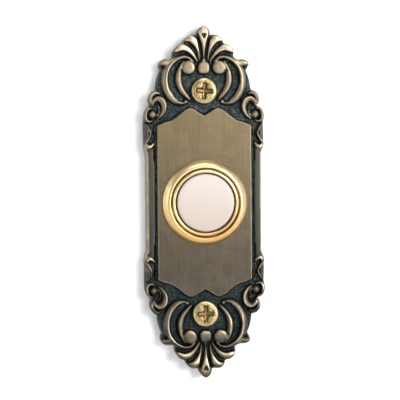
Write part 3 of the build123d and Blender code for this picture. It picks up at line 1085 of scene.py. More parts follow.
    def side_group(self) -> list[Stroke]:
        """Draw the hooked scroll at the panel's corner and the leaf above the rail.

        Returns:
            Its forms, the lowest first.
        """
        hood = (
            (13.2, 32.35, 0.4, 1.2), (14.5, 32.6, 0.75, 1.55), (15.7, 31.9, 0.95, 1.65),
            (16.1, 30.6, 0.8, 1.5), (15.7, 29.4, 0.5, 1.2),
        )
        hook = (
            (15.3, 28.9, 0.45, 1.3), (15.0, 30.0, 0.7, 1.65), (14.0, 30.8, 0.9, 1.8),
            (12.75, 30.4, 1.1, 1.9), (12.05, 29.1, 1.05, 1.85), (12.1, 27.5, 0.9, 1.75),
            (12.9, 26.0, 0.65, 1.5), (14.0, 24.9, 0.4, 1.2),
        )
        tongue = (
            (14.0, 29.0, 0.26, 0.8), (13.4, 28.2, 0.28, 1.0),
            (13.45, 26.9, 0.28, 1.0), (14.0, 25.7, 0.26, 0.8),
        )
        rim = (
            (15.7, 28.1, 0.4, 1.3), (16.9, 27.6, 0.6, 1.5), (17.35, 26.3, 0.65, 1.5),
            (17.3, 24.9, 0.6, 1.45), (16.4, 24.1, 0.5, 1.3), (15.3, 24.4, 0.35, 1.1),
        )
        leaf = ((17.0, 22.8, 0.5, 1.1), (16.9, 21.0, 0.7, 1.2), (17.1, 19.2, 0.6, 1.2))
        strand = (
            (17.1, 23.1, 0.3, 1.2), (16.4, 21.9, 0.36, 1.5), (15.95, 20.7, 0.36, 1.55),
            (16.3, 19.5, 0.42, 1.65), (16.8, 18.7, 0.5, 1.75), (17.2, 18.0, 0.5, 1.75),
        )
        cup = (
            (15.2, 17.5, 0.5, 1.5), (15.9, 16.75, 0.75, 1.7),
            (16.7, 16.6, 0.8, 1.75), (17.3, 17.3, 0.55, 1.6),
        )
        bead = ((14.5, 22.6, 0.3, 0.9), (14.75, 21.4, 0.36, 1.05), (14.7, 20.2, 0.26, 0.8))
        return [
            Stroke(hood, Section.BROAD, rub=0.5),
            Stroke(hook, Section.ROUND, Section.BROAD, crest=0.45, rub=0.46, ridge=0.6),
            Stroke(tongue, Section.ROUND, rub=0.7),
            Stroke(rim, Section.ROUND, rub=0.4, ridge=0.6),
            Stroke(((15.3, 26.2, 1.45, 1.95),), Section.DOMED, rub=0.42),
            Stroke(bead, Section.ROUND, rub=0.3),
            Stroke(leaf, Section.BROAD, rub=0.1),
            Stroke(strand, Section.ROUND, rub=0.4, ridge=0.9),
            Stroke(cup, Section.BROAD, rub=0.6, ridge=0.85),
        ]

    def rail(self) -> list[Stroke]:
        """Draw the broad moulding beside the panel with fine reeds on it.

        Returns:
            Its forms, the lowest first.
        """
        top, foot = self.rail_end, -1.0
        half, low = self.rail_half_width, self.rail_across + 0.12
        run = ((low, top, 0.78, 0.9), (low, top - 3.0, 0.85, 0.95), (self.rail_across, top - 7.0, half, 1.0))
        run += ((self.rail_across, top - 9.0, half, 1.0), (self.rail_across, foot, half, 1.0))
        channel = ((14.4, 22.0, 0.5, 0.5), (14.4, foot, 0.5, 0.5))
        strokes = [Stroke(channel, Section.DISC, rub=0.0), Stroke(run, Section.DISC, rub=0.0)]
        for place in self.reed_places:
            across = self.rail_across + place * self.reed_pitch
            reed = ((across, top - 4.0, 0.2, 1.02), (across, foot, 0.2, 1.12))
            strokes.append(Stroke(reed, Section.ROUND, rub=0.05))
        return strokes

    def sculpt(self, outline: np.ndarray) -> None:
        """Raise all the relief over the quarter map.

        Args:
            outline: corners of the plate's edge in the face frame.
        """
        relief = self.relief
        inside = relief.distance_to(outline)
        share = np.clip(inside / self.edge_slope_width, 0, 1)
        rise = np.sin(share * math.pi / 2) ** 0.9
        relief.level = self.edge_level + (self.field_level - self.edge_level) * rise
        for stroke in self.rail() + self.side_group() + self.shoulder() + self.palmette():
            relief.carve(stroke)
        for across, up, radius in self.tip_pits:
            relief.sink(across, up, radius, self.tip_pit_depth)
        for across, up in self.leaf_pits:
            relief.sink(across, up, self.leaf_pit_radius, self.leaf_pit_depth)
        self.edge_distance = inside
        panel = relief.distance_to(mirrored_loop(self.panel_quarter()))
        fall = np.minimum(panel, 0) * (self.panel_level - self.field_level) / self.panel_bevel
        relief.level = np.maximum(relief.level, np.minimum(self.panel_level + fall, self.panel_level))
        relief.level = relief.softened(relief.level, 0.07)
        relief.level[panel > 0.15] = self.panel_level
        self.panel_distance = panel

    def attributes(self) -> tuple[np.ndarray, np.ndarray, np.ndarray]:
        """Work out where the casting is rubbed and where it stays dark.

        Returns:
            Maps of the rub above the button, the rub below it with painted light and shade, and the patina,
            from 0 to 1.
        """
        relief, wear = self.relief, self.wear
        proud = relief.level - relief.softened(relief.level, wear.around)
        above = np.clip((relief.level - self.field_level) / wear.relief_height, 0, 1)
        rub = relief.softened(relief.rub, 0.05) * np.clip(0.72 + proud / 0.8, 0, 1.15)
        patina = np.clip(1.05 - 1.35 * above - proud, 0, 1)
        # the flank band along the outer edge is partly rubbed wear and partly a painted reflection of the
        # pale surroundings
        along = np.clip((wear.rail_top - relief.up) / 1.5, 0, 1)
        band = wear.rail_band * along + wear.edge_band * (1 - along)
        flank = np.clip((band - self.edge_distance) / wear.fade, 0, 1)
        rim = np.clip(1.5 - np.abs(self.panel_distance - 0.1) / wear.fade, 0, 1)
        slope = np.hypot(*np.gradient(relief.softened(relief.level, 0.1), relief.step))
        ridge = relief.softened(relief.ridge, 0.05)
        border = wear.rail_rub_and_sheen * along + wear.edge_rub_and_sheen * (1 - along)
        # painted light from above, below the button: darker bodies, lighter crest lines and lighter
        # upward-facing slopes
        tilt = np.gradient(relief.softened(relief.level, wear.broad), relief.step)[0]
        painted_uplight = np.clip(1 + wear.painted_uplight * tilt, *wear.painted_uplight_range)
        worn = []
        for body, crest in ((1.0, 0.0), (wear.shaded_foot_body * painted_uplight, wear.lit_foot_crest)):
            share = (rub * body + ridge**2 * crest) * np.clip(1.3 - 0.5 * slope, 0.3, 1)
            share = share * (1 - flank) + border * flank
            worn.append(np.clip(np.maximum(share, wear.panel_rim * rim), 0, 1))
        patina = patina * (1 - 0.85 * np.maximum(flank * along, rim))
        return worn[0], worn[1], patina

    def build(self) -> bpy.types.Object:
        """Sculpt the front, close it with the walls and the hollow back.

        Returns:
            The casting as one closed mesh with its rub and patina attributes.
        """
        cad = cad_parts["plate"]
        edge, cavity, *rings = level_loops(cad, 0.0)
        bores = [ring for ring in rings if radius_of(ring) < self.small_radius]
        posts = [ring for ring in rings if radius_of(ring) > self.small_radius]
        inner_rings = level_loops(cad, self.cavity_level)
        button_bore = min(inner_rings, key=lambda ring: abs(radius_of(ring) - self.bore_radius))
        edge = divided(rounded_loop(edge), self.edge_gap)
        cavity = divided(rounded_loop(cavity), self.cavity_gap)
        bores = [even_circle(ring, self.hole_corners) for ring in bores]
        posts = [even_circle(ring, self.post_corners) for ring in posts]
        button_bore = even_circle(button_bore, self.bore_corners)
        self.sculpt(edge)
        maps = self.attributes()
        mesh = Sheets()
        holes = bores + [button_bore]
        panel_loop = divided(mirrored_loop(self.panel_quarter()), self.panel_gap)
        mesh.region([edge, panel_loop] + holes, holes, self.front_level, 1, self.front_points(holes))
        mesh.region([edge, cavity], [cavity], 0.0, -1)
        mesh.region([cavity, button_bore] + posts, [button_bore] + posts, self.cavity_level, -1)
        for post, hole in zip(sorted(posts, key=height_of), sorted(bores, key=height_of)):
            mesh.region([post, hole], [hole], 0.0, -1)
            mesh.wall(post, 0.0, self.cavity_level)
        for hole in bores:
            mesh.wall(hole, 0.0, self.front_level(hole))
        mesh.wall(cavity, 0.0, self.cavity_level)
        mesh.wall(button_bore, self.cavity_level, self.front_level(button_bore))
        mesh.wall(edge, 0.0, self.front_level(edge))
        piece = mesh.object("cast_plate")
        self.paint(piece, *maps)
        return piece

    def front_level(self, points: np.ndarray) -> np.ndarray:
        """Height of the front at face points of any quarter."""
        return self.relief.read(self.relief.level, points)

    def front_points(self, holes: list[np.ndarray]) -> np.ndarray:
        """Lay out inner points of the front, close together on the relief only.

        Args:
            holes: loops of the round holes.

        Returns:
            Points in the face frame.
        """
        relief = self.relief
        clearance = self.point_clearance * self.fine_gap
        spread = local_spread(relief.level, self.spread_reach)
        busy = relief.softened((spread > self.least_spread).astype(float), 0.12)
        columns = np.arange(self.fine_gap / 2, relief.width - 0.3, self.fine_gap)
        rows = np.arange(self.fine_gap / 2, relief.height - 0.3, self.fine_gap)
        x, y = np.meshgrid(columns, rows)
        i, j = np.meshgrid(np.arange(len(columns)), np.arange(len(rows)))
        every = round(self.coarse_gap / self.fine_gap)
        points = np.stack([x.ravel(), y.ravel()], 1)
        lattice = ((i % every == 0) & (j % every == 0)).ravel()
        keep = (relief.read(busy, points) > 0.05) | lattice
        keep &= relief.read(self.edge_distance, points) > clearance
        keep &= np.abs(relief.read(self.panel_distance, points)) > 0.4 * self.fine_gap
        points = points[keep]
        points = np.vstack([points * sign for sign in ((1, 1), (-1, 1), (1, -1), (-1, -1))])
        for hole in holes:
            centre, radius = hole.mean(0), radius_of(hole)
            points = points[np.hypot(*(points - centre).T) > radius + clearance]
        return points

    def paint(self, piece: bpy.types.Object, top: np.ndarray, foot: np.ndarray, dark: np.ndarray) -> None:
        """Store the rub and patina of each vertex and tell the panel's faces.

        Args:
            piece: the casting.
            top: how rubbed the front is above the button.
            foot: how rubbed it is below the button, with painted light and shade.
            dark: how dark its patina is.
        """
        mesh = piece.data
        co = points_of(piece) / MM
        face = np.stack([co[:, 0], co[:, 2]], 1)
        front = -co[:, 1] > self.front_level(face) - 0.02
        wall = ~front & (self.relief.read(self.edge_distance, face) < 0.1)
        # below the button the foot map, with its painted light and shade, takes over
        share = np.clip(0.5 + face[:, 1] / 16.0, 0, 1)
        worn = self.relief.read(top, face) * share + self.relief.read(foot, face) * (1 - share)
        # outer walls: rub that is partly wear and partly a painted reflection of the pale surroundings
        rub = np.where(front, worn, np.where(wall, self.wear.wall_rub_and_sheen, 0.0))
        behind = np.where(wall, self.wear.wall_patina, self.wear.back_patina)
        patina = np.where(front, self.relief.read(dark, face), behind)
        for name, values in (("rub", rub), ("patina", patina)):
            mesh.attributes.new(name, "FLOAT", "POINT").data.foreach_set("value", values.astype(np.float32))
        mesh.materials.append(AntiqueBrass().material())
        mesh.materials.append(BrushedPanel().material())
        centres, normals = np.zeros((2, len(mesh.polygons) * 3), np.float32)
        mesh.polygons.foreach_get("center", centres)
        mesh.polygons.foreach_get("normal", normals)
        centre = centres.reshape(-1, 3) / MM
        on_top = np.abs(centre[:, 1] + self.panel_level) < 0.02
        within = self.relief.read(self.panel_distance, centre[:, [0, 2]]) > 0.3
        flat = on_top & within & (normals.reshape(-1, 3)[:, 1] < -0.995)
        mesh.polygons.foreach_set("material_index", flat.astype(np.int32))
        mesh.update()


def level_loops(node: bpy.types.Object, level: float) -> list[np.ndarray]:
    """Border loops of a CAD node's flat faces at a height, the largest first.

    Args:
        node: the CAD node's object, read only.
        level: height in front of the wall, in millimetres.

    Returns:
        Loops of face-frame points, in millimetres.
    """
    corners = [tuple(round(c / MM, 4) for c in vertex.co) for vertex in node.data.vertices]
    borders: dict[tuple, int] = {}
    for polygon in node.data.polygons:
        face = [corners[index] for index in polygon.vertices]
        if all(abs(-corner[1] - level) < 0.002 for corner in face):
            for start, end in zip(face, face[1:] + face[:1]):
                key = (min(start, end), max(start, end))
                borders[key] = borders.get(key, 0) + 1
    after: dict[tuple, list] = {}
    for (start, end), count in borders.items():
        if count == 1:
            after.setdefault(start, []).append(end)
            after.setdefault(end, []).append(start)
    loops = []
    seen: set[tuple] = set()
    for first in after:
        if first in seen:
            continue
        loop = [first]
        seen.add(first)
        while True:
            following = [corner for corner in after[loop[-1]] if corner not in seen]
            if not following:
                break
            seen.add(following[0])
            loop.append(following[0])
        loops.append(np.array([(corner[0], corner[2]) for corner in loop]))
    return sorted(loops, key=lambda loop: -np.ptp(loop[:, 0]) * np.ptp(loop[:, 1]))


def radius_of(loop: np.ndarray) -> float:
    """Half the width of a loop."""
    return float(np.ptp(loop[:, 0]) / 2)


def height_of(loop: np.ndarray) -> float:
    """Mean height of a loop on the face."""
    return float(loop[:, 1].mean())


def even_circle(loop: np.ndarray, corners: int) -> np.ndarray:
    """Put a circle of even corners in the place of a round loop.

    Args:
        loop: corners of the round loop.
        corners: number of corners of the circle.

    Returns:
        The circle's corners.
    """
    centre = (loop.max(0) + loop.min(0)) / 2
    centre[np.abs(centre) < 0.01] = 0.0
    angles = np.arange(corners) * FULL_TURN / corners
    return centre + radius_of(loop) * np.stack([np.cos(angles), np.sin(angles)], 1)


def rounded_loop(loop: np.ndarray, corner_angle: float = 38.0, runs: int = 4) -> np.ndarray:
    """Loop with its polyline arcs smoothed and its real corners kept.

    Args:
        loop: corners of the loop in order.
        corner_angle: a turn above this many degrees is a real corner.
        runs: number of new runs for each old one.

    Returns:
        The smoother loop.
    """
    run = np.roll(loop, -1, axis=0) - loop
    angle = np.arctan2(run[:, 1], run[:, 0])
    turn = np.degrees(np.abs((angle - np.roll(angle, 1) + math.pi) % FULL_TURN - math.pi))
    sharp = turn > corner_angle
    count = len(loop)
    rows = []
    for index in range(count):
        b, c = loop[index], loop[(index + 1) % count]
        long_run = np.hypot(*(c - b)) > 3.0
        a = 2 * b - c if sharp[index] else loop[index - 1]
        d = 2 * c - b if sharp[(index + 1) % count] else loop[(index + 2) % count]
        before, after = np.hypot(*(b - a)), np.hypot(*(d - c))
        here = np.hypot(*(c - b))
        lead = (c - a) * here / (before + here)
        trail = (d - b) * here / (after + here)
        for step in range(runs):
            t = step / runs
            if long_run:
                rows.append(b + (c - b) * t)
            else:
                rows.append(
                    (2 * t**3 - 3 * t**2 + 1) * b
                    + (t**3 - 2 * t**2 + t) * lead
                    + (3 * t**2 - 2 * t**3) * c
                    + (t**3 - t**2) * trail
                )
    return np.array(rows)


def local_spread(values: np.ndarray, reach: int) -> np.ndarray:
    """Find how much a map changes around each of its points.

    Args:
        values: the map.
        reach: number of cells that are looked at each way.

    Returns:
        The highest value less the lowest one within the reach.
    """
    high, low = values.copy(), values.copy()
    for axis in (0, 1):
        top, bottom = high.copy(), low.copy()
        for shift in range(-reach, reach + 1):
            top = np.maximum(top, np.roll(high, shift, axis))
            bottom = np.minimum(bottom, np.roll(low, shift, axis))
        high, low = top, bottom
    return high - low


class Sheets:
    """Collects sheets and walls in the face frame into one closed mesh."""

    def __init__(self) -> None:
        """Start with nothing."""
        self.corners: list[np.ndarray] = []
        self.faces: list[tuple[int, ...]] = []
        self.count = 0

    def add(self, points: np.ndarray, levels: Levels) -> int:
        """Keep some corners.

        Args:
            points: rows of across and up.
            levels: the height of each corner, or of all.

        Returns:
            The number of the first corner.
        """
        depths = np.broadcast_to(-np.asarray(levels, float), len(points))
        self.corners.append(np.column_stack([points[:, 0], depths, points[:, 1]]) * MM)
        self.count += len(points)
        return self.count - len(points)

    def region(
        self,
        loops: list[np.ndarray],
        holes: list[np.ndarray],
        level: Callable[[np.ndarray], np.ndarray] | float,
        side: int,
        inner: np.ndarray | None = None,
    ) -> None:
        """Fill the region inside the first loop and outside the holes.

        Args:
            loops: every line that the sheet's edges follow.
            holes: the loops that stay open.
            level: height of all points, or a function that gives each point's.
            side: 1 where the sheet faces the front, -1 where it faces the wall.
            inner: extra points inside.
        """
        points, edges = [], []
        for loop in loops:
            first = sum(len(part) for part in points)
            points.append(loop)
            edges.extend((first + k, first + (k + 1) % len(loop)) for k in range(len(loop)))
        if inner is not None:
            points.append(inner)
        made = delaunay_2d_cdt([tuple(point) for point in np.vstack(points).tolist()], edges, [], 1, 1e-5)
        corners = np.array([tuple(corner) for corner in made[0]])
        triangles = np.array(made[2])
        centres = corners[triangles].mean(1)
        keep = np.ones(len(triangles), bool)
        for hole in holes:
            keep &= ~inside_loop(centres, hole)
        keep &= inside_loop(centres, loops[0])
        triangles = triangles[keep]
        a, b, c = (corners[triangles[:, k]] for k in range(3))
        turn = (b[:, 0] - a[:, 0]) * (c[:, 1] - a[:, 1]) - (b[:, 1] - a[:, 1]) * (c[:, 0] - a[:, 0])
        flip = turn * side < 0
        triangles[flip] = triangles[flip][:, ::-1]
        first = self.add(corners, level(corners) if callable(level) else level)
        self.faces.extend(tuple(row) for row in (triangles + first).tolist())

    def wall(self, loop: np.ndarray, low: Levels, high: Levels) -> None:
        """Join a loop at one height to the same loop at another.

        Args:
            loop: corners of the loop in order.
            low: the height of its lower border.
            high: the height of its upper border.
        """
        start, end = self.add(loop, low), self.add(loop, high)
        size = len(loop)
        for k in range(size):
            following = (k + 1) % size
            self.faces.append((start + k, start + following, end + following, end + k))

    def object(self, name: str) -> bpy.types.Object:
        """Weld everything into one mesh whose normals point outward.

        Args:
            name: the object's name.

        Returns:
            The mesh object.
        """
        mesh = bpy.data.meshes.new(name)
        mesh.from_pydata(np.vstack(self.corners).tolist(), [], self.faces)
        piece = bpy.data.objects.new(name, mesh)
        bpy.context.scene.collection.objects.link(piece)
        activate(piece)
        bpy.ops.object.mode_set(mode="EDIT")
        bpy.ops.mesh.select_all(action="SELECT")
        bpy.ops.mesh.remove_doubles(threshold=SEAM_WELD * MM)
        bpy.ops.mesh.delete_loose()
        bpy.ops.mesh.select_all(action="SELECT")
        bpy.ops.mesh.normals_make_consistent(inside=False)
        bpy.ops.object.mode_set(mode="OBJECT")
        return piece


def inside_loop(points: np.ndarray, loop: np.ndarray) -> np.ndarray:
    """Find out which points lie inside a closed loop.

    Args:
        points: rows of across and up.
        loop: corners of the loop in order.

    Returns:
        True for each point inside.
    """
    crossings = np.zeros(len(points), int)
    for (sx, sy), (ex, ey) in zip(loop, np.roll(loop, -1, axis=0)):
        if abs(ey - sy) > TINY:
            between = (points[:, 1] >= min(sy, ey)) & (points[:, 1] < max(sy, ey))
            crossings += between & (points[:, 0] < sx + (ex - sx) * (points[:, 1] - sy) / (ey - sy))
    return crossings % 2 == 1


def block(name: str, size: Point3, place: Point3, turn: float = 0.0) -> bpy.types.Object:
    """Add a cube primitive at a face-frame place, turned about the line out of the wall.

    Args:
        name: the object's name.
        size: across, up and depth in millimetres.
        place: its middle in the face frame.
        turn: its turn in degrees.

    Returns:
        The block, for shaping or cutting.
    """
    deselect_all()
    turned = (0.0, math.radians(-turn), 0.0)
    bpy.ops.mesh.primitive_cube_add(size=1.0, location=row_point(*place), rotation=turned)
    made = bpy.context.object
    made.name = name
    made.scale = (size[0] * MM, size[2] * MM, size[1] * MM)
    bpy.ops.object.transform_apply(location=False, rotation=True, scale=True)
    return made


def bore(radius: float, low: float, high: float, across: float) -> bpy.types.Object:
    """Add a cylinder primitive that points out of the wall, to cut a round hole.

    Args:
        radius: the hole's radius in millimetres.
        low: height where it starts.
        high: height where it ends.
        across: its place beside the button's axis.

    Returns:
        The cylinder.
    """
    deselect_all()
    bpy.ops.mesh.primitive_cylinder_add(
        vertices=BORE_CORNERS,
        radius=radius * MM,
        depth=(high - low) * MM,
        location=row_point(across, 0.0, (low + high) / 2),
        rotation=(math.pi / 2, 0.0, 0.0),
    )
    return bpy.context.object


class Join(Enum):
    """What a solid does to the piece that it meets."""

    CUT = "DIFFERENCE"
    FUSE = "UNION"

    def apply(self, piece: bpy.types.Object, *tools: bpy.types.Object) -> None:
        """Cut solids out of a piece or add them to it, and remove them.

        Args:
            piece: the mesh object that stays.
            tools: the other solids.
        """
        for tool in tools:
            apply_modifier(piece, "BOOLEAN", operation=self.value, solver="EXACT", use_self=True, object=tool)
            bpy.data.objects.remove(tool)


def ease_edges(piece: bpy.types.Object, width_mm: float, segments: int = 2, angle: float = 35.0) -> None:
    """Merge a piece's doubles and round its sharp edges.

    Args:
        piece: the mesh object.
        width_mm: width of the rounding.
        segments: number of runs across it.
        angle: edges sharper than this many degrees are rounded.
    """
    apply_modifier(piece, "WELD", merge_threshold=EDGE_WELD * MM)
    apply_modifier(
        piece,
        "BEVEL",
        width=width_mm * MM,
        segments=segments,
        limit_method="ANGLE",
        angle_limit=math.radians(angle),
        use_clamp_overlap=True,
        harden_normals=False,
    )


def close_ends(piece: bpy.types.Object) -> None:
    """Fill the open end loops of a swept piece and turn its normals out.

    Args:
        piece: the swept mesh object.
    """
    activate(piece)
    bpy.ops.object.mode_set(mode="EDIT")
    bpy.ops.mesh.select_mode(type="EDGE")
    bpy.ops.mesh.select_all(action="DESELECT")
    bpy.ops.mesh.select_non_manifold(extend=False)
    bpy.ops.mesh.fill()
    bpy.ops.mesh.select_all(action="SELECT")
    bpy.ops.mesh.normals_make_consistent(inside=False)
    bpy.ops.object.mode_set(mode="OBJECT")


def finish_with(piece: bpy.types.Object, material: bpy.types.Material) -> bpy.types.Object:
    """Give a piece one material and settle it.

    Args:
        piece: the mesh object.
        material: its finish.

    Returns:
        The same object.
    """
    piece.data.materials.clear()
    piece.data.materials.append(material)
    return settle(piece)


@dataclass
class BezelRing:
    """Spun brass ring around the button, with its neck through the plate."""

    outer_radius: float = 12.65
    crest_radius: float = 10.75
    crest_level: float = 7.35
    groove_outer: float = 10.34
    groove_inner: float = 9.86
    groove_level: float = 6.5
    bead_radius: float = 9.37
    bead_level: float = 7.65
    lip_bore: float = 8.9
    lip_under: float = 4.6
    panel_level: float = 5.2
    neck_radius: float = 10.25
    neck_bore: float = 9.75
    rolled_bore: float = 8.6
    rolled_top: float = 0.6
    neck_end: float = 0.1
    edge_round: float = 0.3
    edge_height: float = 0.53
    crown_power: float = 1.9
    groove_round: float = 0.22
    rim_drop: float = 0.24
    bead_height: float = 0.45
    neck_round: float = 0.25

    def profile(self) -> list[Point2]:
        """Draw the ring's closed section.

        Returns:
            Its (radius, height) corners, from the outer edge inwards and back by the neck.
        """
        edge, rim, curl = self.edge_round, self.groove_round, self.neck_round
        points = arc((self.outer_radius - edge, self.panel_level + edge), (edge, edge), 0, 50, 4)
        run = self.outer_radius - 0.1 - self.crest_radius
        for share in (0.82, 0.64, 0.48, 0.33, 0.2, 0.1, 0.0):
            fall = (self.crest_level - self.panel_level - self.edge_height) * share**self.crown_power
            points.append((self.crest_radius + run * share, self.crest_level - fall))
        points += arc((self.groove_outer + rim, self.crest_level - self.rim_drop), (rim, rim), 90, 180, 5)
        middle = (self.groove_outer + self.groove_inner) / 2
        points += arc((middle, self.groove_level + 0.2), (self.groove_outer - middle, 0.25), -15, -165, 5)
        bead = (self.bead_radius, self.bead_level - self.bead_height)
        points += arc(bead, (self.groove_inner - self.bead_radius, self.bead_height), 0, 90, 6)
        points += arc(bead, (self.bead_radius - self.lip_bore, self.bead_height), 100, 180, 5)
        points += [
            (self.lip_bore, self.lip_under + 0.1),
            (self.lip_bore + 0.1, self.lip_under),
            (self.neck_bore, self.lip_under),
            (self.neck_bore, self.rolled_top + 0.1),
            (self.neck_bore - 0.1, self.rolled_top),
            (self.rolled_bore, self.rolled_top),
        ]
        points += arc((self.neck_radius - curl, self.neck_end + curl), (curl, curl), 270, 360, 4)
        points.insert(-5, (self.rolled_bore, self.neck_end))
        points += [(self.neck_radius, self.panel_level), (self.outer_radius - 0.05, self.panel_level)]
        return points

    def build(self) -> bpy.types.Object:
        """Turn the ring and polish it."""
        ring = Turning("polished_ring", self.profile(), steps=160, closed_ring=True).build()
        return finish_with(ring, PolishedBrass().material())


@dataclass
class ButtonCap:
    """Pressed cap: a slightly crowned face, its flange and its sleeve."""

    radius: float = 8.55
    face_level: float = 7.9
    crown: float = 0.12
    edge_round: float = 0.75
    flange_radius: float = 9.6
    flange_top: float = 4.6
    flange_low: float = 3.8
    sleeve_radius: float = 6.82
    sleeve_bore: float = 5.82
    sleeve_end: float = -2.0
    under_level: float = 6.3
    flange_round: float = 0.12
    sleeve_round: float = 0.15
    base: Colour = (0.585, 0.515, 0.47)
    shade: Colour = (0.57, 0.50, 0.455)
    # painted shade: the cap darkens to this colour towards its bottom
    foot: Colour = (0.47, 0.39, 0.33)

    def build(self) -> bpy.types.Object:
        """Turn the cap from its crowned face to its sleeve.

        Returns:
            The dressed cap.
        """
        ease, relief = self.flange_round, self.sleeve_round
        shoulder = self.radius - self.edge_round
        profile = [(0.0, self.face_level)]
        for share in (0.2, 0.4, 0.6, 0.8, 1.0):
            profile.append((shoulder * share, self.face_level - self.crown * share**2))
        edge_top = self.face_level - self.crown
        profile += arc((shoulder, edge_top - self.edge_round), (self.edge_round, self.edge_round), 80, 0, 8)
        profile += [
            (self.radius, self.flange_top),
            (self.flange_radius - ease, self.flange_top),
            (self.flange_radius, self.flange_top - ease),
            (self.flange_radius, self.flange_low + ease),
            (self.flange_radius - ease, self.flange_low),
            (self.sleeve_radius, self.flange_low),
            (self.sleeve_radius, self.sleeve_end + relief),
            (self.sleeve_radius - relief, self.sleeve_end),
            (self.sleeve_bore + relief, self.sleeve_end),
            (self.sleeve_bore, self.sleeve_end + relief),
            (self.sleeve_bore, self.under_level),
            (0.0, self.under_level),
        ]
        cap = Turning("button_cap_moulding", profile, steps=128).build()
        finish = Plastic("warm_white_plastic", self.base, self.shade, 0.4, 0.48, 0.003, self.foot)
        return finish_with(cap, finish.material())


@dataclass
class MountingScrew:
    """Pan-head wood screw with a worn cross recess and a cut thread."""

    name: str
    up: float
    recess_turn: float
    head_radius: float = 3.95
    head_curve: tuple[Point2, ...] = ((2.8, 0.03), (3.15, 0.07), (3.48, 0.2), (3.74, 0.44))
    seat: float = 3.6
    top: float = 6.0
    neck_radius: float = 1.8
    thread_radius: float = 2.0
    core_radius: float = 1.45
    thread_start: float = -0.2
    tip: float = -21.8
    point: float = 4.0
    pitch: float = 1.25
    arm_span: float = 6.8
    arm_width: float = 1.9
    arm_depth: float = 1.1
    arm_taper: float = 0.58
    arm_round: float = 0.42
    cone_radii: Point2 = (2.1, 0.5)
    cone_depth: float = 2.4
    thread_crest: float = 0.12
    flank_share: float = 0.36
    thread_steps: int = 24
    thread_margin: float = 1.6
    start_share: float = 0.72

    def body(self) -> bpy.types.Object:
        """Turn the head, the neck and the core.

        Returns:
            The solid, without recess and thread.
        """
        profile = [
            (0.0, self.top),
            *((radius, self.top - drop) for radius, drop in self.head_curve),
            (self.head_radius - 0.06, self.top - 0.78),
            (self.head_radius, self.top - 1.2),
            (self.head_radius, self.seat + 0.25),
            (self.head_radius - 0.2, self.seat),
            (self.neck_radius, self.seat),
            (self.neck_radius, self.thread_start),
            (self.core_radius, self.thread_start - 0.3),
            (self.core_radius, self.tip + self.point),
            (0.0, self.tip),
        ]
        return Turning(self.name, profile, centre=(0.0, self.up), steps=72).build()

    def recess(self) -> list[bpy.types.Object]:
        """Shape what is cut out of the head for the cross recess.

        Returns:
            Two tapered arms and a shallow centre cone.
        """
        tools = []
        size = (self.arm_span, self.arm_width, 2 * self.arm_depth)
        for turn in (self.recess_turn, self.recess_turn + 90):
            arm = block("arm", size, (0.0, self.up, self.top), turn)
            activate(arm)
            bpy.ops.object.mode_set(mode="EDIT")
            bpy.ops.mesh.select_all(action="DESELECT")
            bpy.ops.object.mode_set(mode="OBJECT")
            for polygon in arm.data.polygons:
                polygon.select = polygon.normal.y > 0.9
            bpy.ops.object.mode_set(mode="EDIT")
            bpy.ops.mesh.select_mode(type="FACE")
            bpy.ops.transform.resize(value=(self.arm_taper, 1.0, self.arm_taper))
            bpy.ops.object.mode_set(mode="OBJECT")
            ease_edges(arm, self.arm_round, segments=4)
            tools.append(arm)
        deselect_all()
        bpy.ops.mesh.primitive_cone_add(
            vertices=32,
            radius1=self.cone_radii[0] * MM,
            radius2=self.cone_radii[1] * MM,
            depth=self.cone_depth * MM,
            location=row_point(0.0, self.up, self.top - 0.1),
            rotation=(-math.pi / 2, 0.0, 0.0),
        )
        tools.append(bpy.context.object)
        return tools

    def thread(self) -> bpy.types.Object:
        """Sweep the helical ridge, run out at the neck and the point.

        Returns:
            The closed ridge.
        """
        ridge = lone_vertex("thread", (0.0, 0.0, 0.0))
        low = (self.core_radius - 0.1) * MM
        rise = (self.thread_radius - self.core_radius + 0.1) * MM
        start = (-self.thread_start + 0.25) * MM
        bpy.ops.transform.translate(value=(low, start, 0.0))
        flank = self.flank_share * self.pitch * MM
        for step in ((rise, flank, 0.0), (0.0, self.thread_crest * MM, 0.0), (-rise, flank, 0.0)):
            bpy.ops.mesh.extrude_region_move(TRANSFORM_OT_translate={"value": step})
        bpy.ops.mesh.select_all(action="SELECT")
        bpy.ops.mesh.edge_face_add()
        bpy.ops.mesh.delete(type="ONLY_FACE")
        bpy.ops.object.mode_set(mode="OBJECT")
        turns = int((-self.tip - self.thread_margin + self.thread_start) / self.pitch)
        apply_modifier(
            ridge,
            "SCREW",
            axis="Y",
            angle=FULL_TURN,
            screw_offset=self.pitch * MM,
            iterations=turns,
            steps=self.thread_steps,
            render_steps=self.thread_steps,
            use_merge_vertices=False,
            use_normal_calculate=True,
        )
        co = points_of(ridge)
        depth = co[:, 1] / MM
        grown = np.clip((depth - start / MM) / self.pitch, 0, 1)
        run_in = grown * (1 - self.start_share) + self.start_share
        run_out = np.clip((-self.tip - depth) / self.point, 0.02, 1)
        share = np.minimum(run_in, run_out)
        co[:, 0] *= share
        co[:, 2] *= share
        co[:, 2] += self.up * MM
        move_points(ridge, co)
        close_ends(ridge)
        return ridge

    def build(self, material: bpy.types.Material) -> bpy.types.Object:
        """Cut the recess, join the thread and dress the screw.

        Args:
            material: the finish of both screws.

        Returns:
            The dressed screw.
        """
        body = self.body()
        Join.CUT.apply(body, *self.recess())
        ease_edges(body, 0.09, segments=2, angle=40)
        ridge = self.thread()
        activate(body)
        ridge.select_set(True)
        bpy.ops.object.join()
        return finish_with(body, material)


